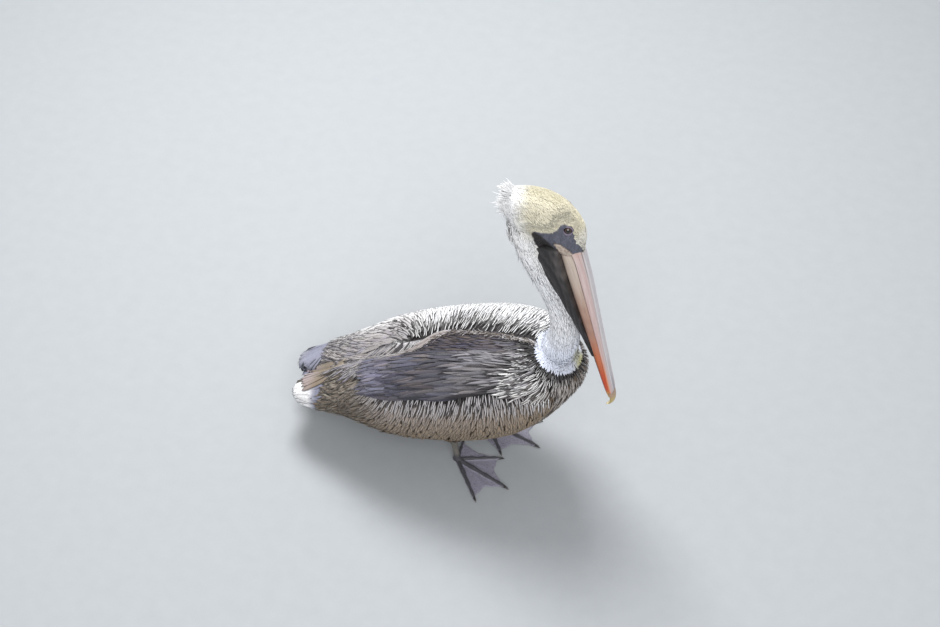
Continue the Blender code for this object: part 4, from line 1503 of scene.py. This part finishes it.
def build_left_coverts():
    """Lesser coverts of the left wing: a silver dome, painted white towards its top as sunlight,
    with a painted shadow between them along its inner edge in front, and long dull feathers, some
    of them lilac, over the rear."""
    ahead = scatter((3.4, 6.0, 6.0), lambda p: in_left_tract(p) & (p[:, 0] > -96))
    behind = scatter((16.0, 3.8, 3.8), lambda p: in_left_tract(p) & (p[:, 0] <= -88))
    roots = np.concatenate([thinned(ahead, 0.42 * left_shadow_band(ahead)), behind])
    place, angle = body_place(roots)
    inner = past_left_tract(roots)
    shadow_band = left_shadow_band(roots)
    rear = ease(place, -60, -105)
    length = between(17, 64, rear) * chance.uniform(0.8, 1.2, len(roots))
    high = depth_at(roots) * (1 + chance.uniform(-0.1, 0.06, len(roots)) * (1 - 0.7 * rear))
    turn = chance.normal(0, 1, len(roots)) * between(7, 3, rear)
    length = np.minimum(length, (roots[:, 0] + 276) * chance.uniform(0.9, 1.1, len(roots)))
    length = np.minimum(length, np.where(roots[:, 0] > -90, 7 + 1.2 * inner, length))
    dull = mix(BUFF, MAUVE, 0.4) * between(0.85, 0.58, ease(inner, 70, 20))[:, None]
    streak = chance.random(len(roots)) ** 2 * rear * ease(inner, 80, 35)
    middle = painted(
        body_base(roots),
        # painted sunlight: the silver dome turned white towards its top
        (WHITE, ease(angle, 15, 45)),
        (dull, 0.85 * ease(place, -50, -90) * ease(inner, 105, 40)),
        (LILAC, 0.8 * streak),
    )
    # painted shadow in the band along the inner edge: some feathers turned near black, and all dark
    # at their sides
    middle = some_dark(middle, 0.3 * shadow_band)
    edge = mix(middle * between(0.9, 1.08, rear)[:, None], DARK, 0.8 * shadow_band)
    tint = lambda e, s: streaked(middle, edge, e, 1.25, 0.05)
    wide = length * (0.2 - 0.08 * shadow_band) * (1 - rear) + 6.4 * rear
    grow(
        "coat_lesser_coverts_left", COAT_COVERT, "wing_feathers", roots, lie_of_wing, length, SOME,
        high * between(0.35, 0.8, rear), high, turn, wide, tint,
        widest=0.35, point=1.25, camber=0.06,
    )  # fmt: skip


def build_right_coverts():
    """Lesser coverts of the right wing: short narrow silver feathers with a painted shadow between
    them close under the scapulars, then smooth warm taupe down the side and ruffled towards the
    wing's tip."""
    where = lambda p: in_wing(p, -1) & (p[:, 1] < 0) & ~under_scapulars(p) & (p[:, 0] > -232)
    roots = scatter((3.3, 7.0, 7.0), where)
    roots = thinned(roots, 0.3 * right_shadow_band(roots))
    place, angle, lower, _ = wing_edges(roots)
    below = below_scapulars(roots)
    shadow_band = right_shadow_band(roots)
    rear = ease(place, -95, -175)
    length = between(18, 36, rear) * chance.uniform(0.8, 1.2, len(roots))
    smooth = ease(below, 34, 60) * (1 - rear)
    high = depth_at(roots) * (1 + chance.uniform(-0.1, 0.06, len(roots)) * (1 - 0.8 * smooth))
    loose = ease(angle, lower + 22, lower + 6) * ease(place, -20, -90)
    high = high + 4.5 * loose * chance.random(len(roots)) ** 3
    turn = chance.normal(0, 1, len(roots)) * between(6, 13, rear)
    length = np.minimum(length, (roots[:, 0] + 256) * chance.uniform(0.9, 1.1, len(roots)))
    # painted shadow close under the scapulars: silver feathers with near-black sides, some darkened
    # whole
    middle = some_dark(mix(body_base(roots), SILVER, 0.75 * shadow_band), 0.2 * shadow_band)
    wrist = ease(place, 116, 130) * ease(below, 14, 4)
    ruffled = chance.random(len(roots)) ** 3 * rear
    middle = painted(middle, (WHITE, wrist), (BUFF * 0.6, ruffled))
    edge = mix(middle * between(0.9, 0.68, rear)[:, None], DARK, 0.6 * shadow_band * (1 - 0.7 * wrist))
    tint = lambda e, s: streaked(middle, edge, e, 1.25, 0.06)
    wide = length * (0.2 - 0.05 * rear + 0.08 * smooth - 0.08 * shadow_band)
    grow(
        "coat_lesser_coverts_right", COAT_COVERT, "wing_feathers", roots, lie_of_wing, length, SOME,
        high * between(0.35, 0.75, smooth), high, turn, wide, tint, camber=0.08,
    )  # fmt: skip


def left_edge_points(x, over):
    """Points of the skin on the inner edge of the left wing's coverts, at each x, `over` mm to its
    left: from a curve above the back, down until it meets the skin."""
    y = curve(LEFT_TRACT, x)[:, 0] + over
    behind = (60 - x).clip(0)
    z = 250 - 0.42 * behind - 0.0006 * behind**2
    spot = np.stack([x, y, z], -1)
    for _ in range(3):
        index = skin_near(spot)
        top = SKIN[index.clip(0)]
        spot[:, 2] = np.where(index >= 0, top[:, 2], spot[:, 2] - 4)
    return on_skin(spot)[0]


def build_fringe():
    """The left wing's inner edge in front: a frizzy fringe of taupe and silver."""
    x = np.repeat(np.arange(104, -62, -1.5), 2)
    x = x + chance.normal(0, 0.6, len(x))
    roots = left_edge_points(x, chance.uniform(-1, 5, len(x)))
    length = chance.uniform(4, 9, len(x))
    turn = chance.normal(0, 26, len(x))
    curl = chance.normal(0, 0.25, len(x))[:, None]

    def lie(p, n):
        return flat_to(np.broadcast_to(np.array((-0.7, -0.75, -0.2)), p.shape), n)

    middle = mix(np.broadcast_to(TAUPE * 0.6, (len(x), 3)), SILVER, chance.random(len(x)) ** 1.5)
    grow(
        "coat_fringe", COAT_SHORT, "wing_feathers", roots, lie, length, SOME, 4.0, 7.6, turn,
        length * 0.2, plain(middle, 0.5, 0.12, 0.8), rise=0.7, stray=curl,
    )  # fmt: skip


def build_inner_edge():
    """The left wing's inner edge behind: long grey feathers lying one behind another along it."""
    x = np.repeat(np.arange(-34, -216, -13.0), 4)
    x = x + chance.normal(0, 4, len(x))
    over = np.tile((0.0, 3.0, 6.0, 9.0), len(x) // 4)
    roots = left_edge_points(x, over)

    def lie(p, n):
        step = curve(LEFT_TRACT, p[:, 0] - 1)[:, 0] - curve(LEFT_TRACT, p[:, 0])[:, 0]
        return flat_to(np.stack([-np.ones(len(p)), step, -0.55 * np.ones(len(p))], -1), n)

    length = chance.uniform(66, 94, len(x)).clip(0, x + 262)
    turn = chance.normal(0, 1, len(x))
    middle = mix(GREY, SILVER, chance.uniform(0.0, 0.6, len(x))) * 0.8
    grow(
        "coat_inner_edge_left", COAT_COVERT, "wing_feathers", roots, lie, length, MANY,
        3.0, 7.0 - 0.12 * over, turn, np.full(len(x), 5.0), plain(middle, 0.85, 0.05),
        rise=0.6, widest=0.3, point=1.3, camber=0.03,
    )  # fmt: skip


def build_mantle():
    """Upper back behind the neck: a taupe band of narrow silky feathers between the wings."""

    def where(p):
        return on_back(p) & (p[:, 0] > -135) & (past_left_tract(p) < 4) & (past_mantle(p) < 6)

    close = scatter((8.0, 4.0, 4.0), lambda p: where(p) & (p[:, 0] > 52))
    behind = scatter((20.0, 3.4, 3.4), lambda p: where(p) & (p[:, 0] < 60))
    roots = np.concatenate([close, behind])
    front = ease(roots[:, 0], 55, 92)
    length = between(56, 22, front) * chance.uniform(0.75, 1.2, len(roots))
    end = np.interp(roots[:, 1], (-30, -24, -8, 0), (-105, -75, -55, -38))
    length = np.minimum(length, (roots[:, 0] - end).clip(7))
    high = depth_at(roots) * 0.9
    turn = chance.normal(0, 5, len(roots))
    # collar: the blackish collar and the painted shadow behind the neck
    collar = collar_and_shadow(roots)
    # darkened to 0.42: the mantle's own dull taupe, with painted shadow from the left wing's raised
    # edge over the back
    middle = mix(TAUPE, MAUVE, chance.uniform(0.3, 1.0, len(roots))) * 0.42
    middle = mix(middle, SILVER * 0.5, 0.4 * front)
    edge = painted(middle * 0.7, (DARK, 0.9 * front), (DARK, collar))
    middle = mix(middle, DARK, 0.9 * collar)
    tint = lambda e, s: streaked(middle, edge, e, 1.1, 0.12)
    grow(
        "coat_mantle", COAT_COVERT, "body_feathers", roots, lie_of_back, length, SOME,
        0.35 * high, high, turn, between(6.0, 4.0, front), tint, widest=0.3, point=1.5, camber=0.06,
    )  # fmt: skip


def build_scapulars():
    """Scapulars: long lance-shaped feathers, grey lilac with a pale rim, drawn to the rear over the
    right wing's upper edge; narrow and dark-edged close to the neck."""

    def where(p):
        right = (over_right_wing(p) > -1) & (p[:, 1] < 0)
        return on_back(p) & (p[:, 0] > -118) & (past_mantle(p) > -2) & right

    close = scatter((8.0, 4.4, 4.4), lambda p: where(p) & (p[:, 0] > 48))
    behind = scatter((34.0, 4.6, 4.6), lambda p: where(p) & (p[:, 0] < 56))
    roots = np.concatenate([close, behind])
    grown = ease(roots[:, 0], 95, 15)
    length = between(26, 94, grown) * chance.uniform(0.75, 1.15, len(roots))
    end = between(166, 180, ease(over_right_wing(roots), 4, 24))
    length = np.minimum(length, (roots[:, 0] + end) * chance.uniform(0.76, 1.07, len(roots)))
    high = depth_at(roots) + 2.2 * grown * chance.random(len(roots))
    turn = chance.normal(0, 4.5, len(roots))
    bend_back = -0.4 * np.radians(turn)[:, None]
    warm = chance.random(len(roots)) ** 2.5
    tone = between(0.26, 0.62, ease(roots[:, 0], -20, -80))[:, None]
    middle = mix(MAUVE, BLADE * 0.8, chance.random(len(roots))) * tone
    middle = mix(middle, TAUPE * 0.7, 0.3 * warm)
    middle = middle * between(1, 0.55, chance.random(len(roots)) < 0.2)[:, None]
    middle = some_dark(mix(middle, SILVER * 0.6, 0.5 * (1 - grown)), 0.35 * (1 - grown))
    # collar: the blackish collar and the painted shadow behind the neck
    collar = collar_and_shadow(roots)
    rim = ((BUFF * 0.6, 0.3 * warm), (DARK, 0.9 * (1 - grown)), (DARK, collar))
    edge = painted(middle * 1.35, *rim)
    middle = mix(middle, DARK, 0.85 * collar)

    def tint(e, s):
        vane = streaked(middle, edge, e**4, 1.0, 0.2)
        # each vane darkened towards its root: painted shadow under the feathers lying over it
        return mix(vane, vane * 0.35, ease(s, 0.55, 0.15)[None])

    grow(
        "coat_scapulars", COAT_LONG, "body_feathers", roots, lie_of_back, length, MANY,
        0.3 * high, high, turn, between(3.6, 8.8, grown), tint, rise=0.9, stray=bend_back,
        widest=0.3, point=1.7, columns=7, camber=0.07,
    )  # fmt: skip


def tail_paths(over, start, end, across, shares):
    """Paths over the tail's upper or under side, each from start to end at its own place across (-1
    to 1), with the direction square to that side at each station."""

    def point(place, across):
        z, tilt, wide, above, below = np.moveaxis(curve(TAIL, place), -1, 0)
        across = across.clip(-0.99, 0.99)
        rise = (1 - np.abs(across) ** BODY_POWER) ** (1 / BODY_POWER)
        rise = rise * (above if over else -below)
        t = np.radians(tilt)
        return np.stack([place - np.sin(t) * rise, across * wide, z + np.cos(t) * rise], -1)

    place = start + (end - start)[:, None] * shares
    side = np.broadcast_to(across[:, None], place.shape)
    here = point(place, side)
    ups = unit(np.cross(point(place + 1.0, side) - here, point(place, side + 0.01) - here))
    flip = np.sign(np.einsum("ijk,ijk->ij", ups, here - TAIL_MIDDLE))
    return here, ups * flip[..., None]


def build_tail():
    """Tail: twelve broad feathers above, the middle ones on top, and twelve below."""
    shares = np.linspace(0, 1, 10)
    across = np.linspace(-0.92, 0.92, TAIL_FEATHERS)
    middle = 1 - np.abs(across)
    end = -262 - 10 * middle
    # name, height of the outermost feathers over the tail, lightness, lower below as painted shade
    # under the tail
    for name, over, lift, light in (("above", True, 4.0, 0.75), ("below", False, 0.5, 0.55)):
        path, ups = tail_paths(over, TAIL_START, end, across, shares)
        ups = unit(ups * np.array((0.3, 0.3, 1)))
        path = path + ups * (lift + 1.6 * middle[:, None, None] * shares[:, None])
        tone = mix(TAUPE, BUFF, chance.uniform(0.2, 0.9, TAIL_FEATHERS)) * light
        lay_coat(
            "tail_feathers_" + name, path[:, 0], path, ups,
            np.full(TAIL_FEATHERS, TAIL_FEATHER_WIDE), shares, plain(tone, 0.8, 0.05),
            COAT_LONG, "tail_feathers", widest=0.6, root=0.6, columns=7, camber=0.06,
        )  # fmt: skip


def lay_folded(name, t, roots, tips, lifts, width, tones, tip_tones, form, turn=(0.55, 0.85)):
    """Long feathers laid over the skin from root straight towards tip, each given by x, y and z
    spread evenly from the first feather's to the last's. Each lies over the one before it by its
    lift, and turns from its tone to its tip's tone between the two shares of turn."""
    shares = np.linspace(0, 1, 12)
    roots, tips = (np.stack([between(*pair, t) for pair in ends], -1) for ends in (roots, tips))
    roots, lifts = on_skin(roots)[0], between(*lifts, t)
    span = np.linalg.norm(tips - roots, axis=1)

    def lie(p, n):
        return flat_to(unit(tips - roots), n)

    def tint(e, s):
        vane = mix(tones[:, None], tip_tones[:, None], ease(s, *turn)[None])
        # sides darkened: painted shade along each feather's edges where it meets the next
        vane = mix(vane, vane * 0.3, 0.85 * (e**4)[None])
        return vane * vary(len(roots), 0.07)

    grow(
        name, COAT_LONG, "wing_feathers", roots, lie, span, shares, 0.35 * lifts, lifts + 1.2, 0,
        np.full(len(roots), width), tint, rise=1, widest=form, root=0.6, point=0.75, columns=9,
        camber=0.05,
    )  # fmt: skip


def build_wing_tips():
    """Tertials: taupe blades, paler at the tip, from under the left wing's edge to the middle of
    the tail. Then the folded primaries, of which the left ones cross to the middle over it."""
    t = np.linspace(0, 1, WING_TIP_FEATHERS)
    pink_buff = linear("#C9BABD")
    lay_folded(
        "tertials_left", t, ((-206, -196), (-36, 18), (112, 112)),
        ((-262, -288), (-50, -8), (84, 84)), (4.6, 6.2), 12.0,
        mix(TAUPE, BUFF, 0.1 + 0.4 * t) * 0.75, mix(TAUPE, pink_buff, 0.4 + 0.6 * t) * 0.8, 0.5,
    )  # fmt: skip
    lay_folded(
        "primaries_left", t, ((-248, -258), (64, 28), (78, 92)),
        ((-300, -290), (50, -14), (62, 78)), (2.6, 5.0), 17.0,
        mix(BLADE, SILVER, 0.1 * t) * 0.72, mix(BLADE, SILVER, 0.3 * (1 - t)) * 0.72, 0.6,
    )  # fmt: skip
    # the right primaries turn from lavender to white at their tips: a painted highlight on their
    # sunlit ends, and painted shade nearer their roots
    lay_folded(
        "primaries_right", t, ((-212, -212), (-76, -36), (92, 112)),
        ((-276, -288), (-62, -38), (72, 76)), (2.6, 4.4), 15.0,
        mix(BLADE, LILAC, 0.4 * t) * 0.72, mix(WHITE, SILVER, 0.6 * t), 0.6, (0.3, 0.55),
    )  # fmt: skip


build_head_coat()
build_neck_coat()
build_crest()
build_breast_coat()
build_belly_coat()
build_thigh_coat()
build_left_coverts()
build_right_coverts()
build_fringe()
build_inner_edge()
build_mantle()
build_scapulars()
build_tail()
build_wing_tips()


# ---------------------------------------------------------------- studio
FLOOR_HALF = 6.0
LIT_POINT = np.array((0, 0, 0.25))
# name, place, power, width: a wide soft light behind and above the bird, a weaker one in front
LAMPS = (("key", (-0.6, 1.1, 2.3), 70, 1.1), ("fill", (0.9, -2.3, 2.2), 57, 2.0))
CAMERA_PLACE = (0.58775, -1.80333, 2.18100)
CAMERA_TILT, CAMERA_TURN, CAMERA_LENS = 44.9, 17, 68.94


def stand(name, data, place=(0, 0, 0), turn=(0, 0, 0)):
    """An object that isn't part of the bird, put in the scene."""
    obj = bpy.data.objects.new(name, data)
    obj.location, obj.rotation_euler = place, turn
    bpy.context.scene.collection.objects.link(obj)
    return obj


def build_studio():
    """A pale floor, two soft lamps that look at the bird, and pale air."""
    mesh = bpy.data.meshes.new("floor")
    corners = np.array(((-1, -1, 0), (1, -1, 0), (1, 1, 0), (-1, 1, 0))) * FLOOR_HALF
    mesh.from_pydata(corners.tolist(), [], [(0, 1, 2, 3)])
    mesh.materials.append(studio_floor())
    stand("floor", mesh)
    for name, place, power, wide in LAMPS:
        lamp = bpy.data.lights.new(name, "AREA")
        lamp.energy, lamp.size = power, wide
        x, y, z = LIT_POINT - np.array(place)
        stand(name, lamp, place, (math.atan2(math.hypot(x, y), -z), 0, math.atan2(-x, y)))
    world = bpy.data.worlds.new("air")
    world.use_nodes = True
    back = world.node_tree.nodes["Background"]
    back.inputs[0].default_value = colour("#E9EAEC")
    back.inputs[1].default_value = 0.6
    bpy.context.scene.world = world
    bpy.context.scene.view_settings.view_transform = "Standard"


def build_camera():
    """A long lens from above the bird's right side."""
    lens = bpy.data.cameras.new("camera")
    lens.lens, lens.sensor_width = CAMERA_LENS, 36
    turn = (math.radians(CAMERA_TILT), 0, math.radians(CAMERA_TURN))
    bpy.context.scene.camera = stand("camera", lens, CAMERA_PLACE, turn)


build_studio()
build_camera()
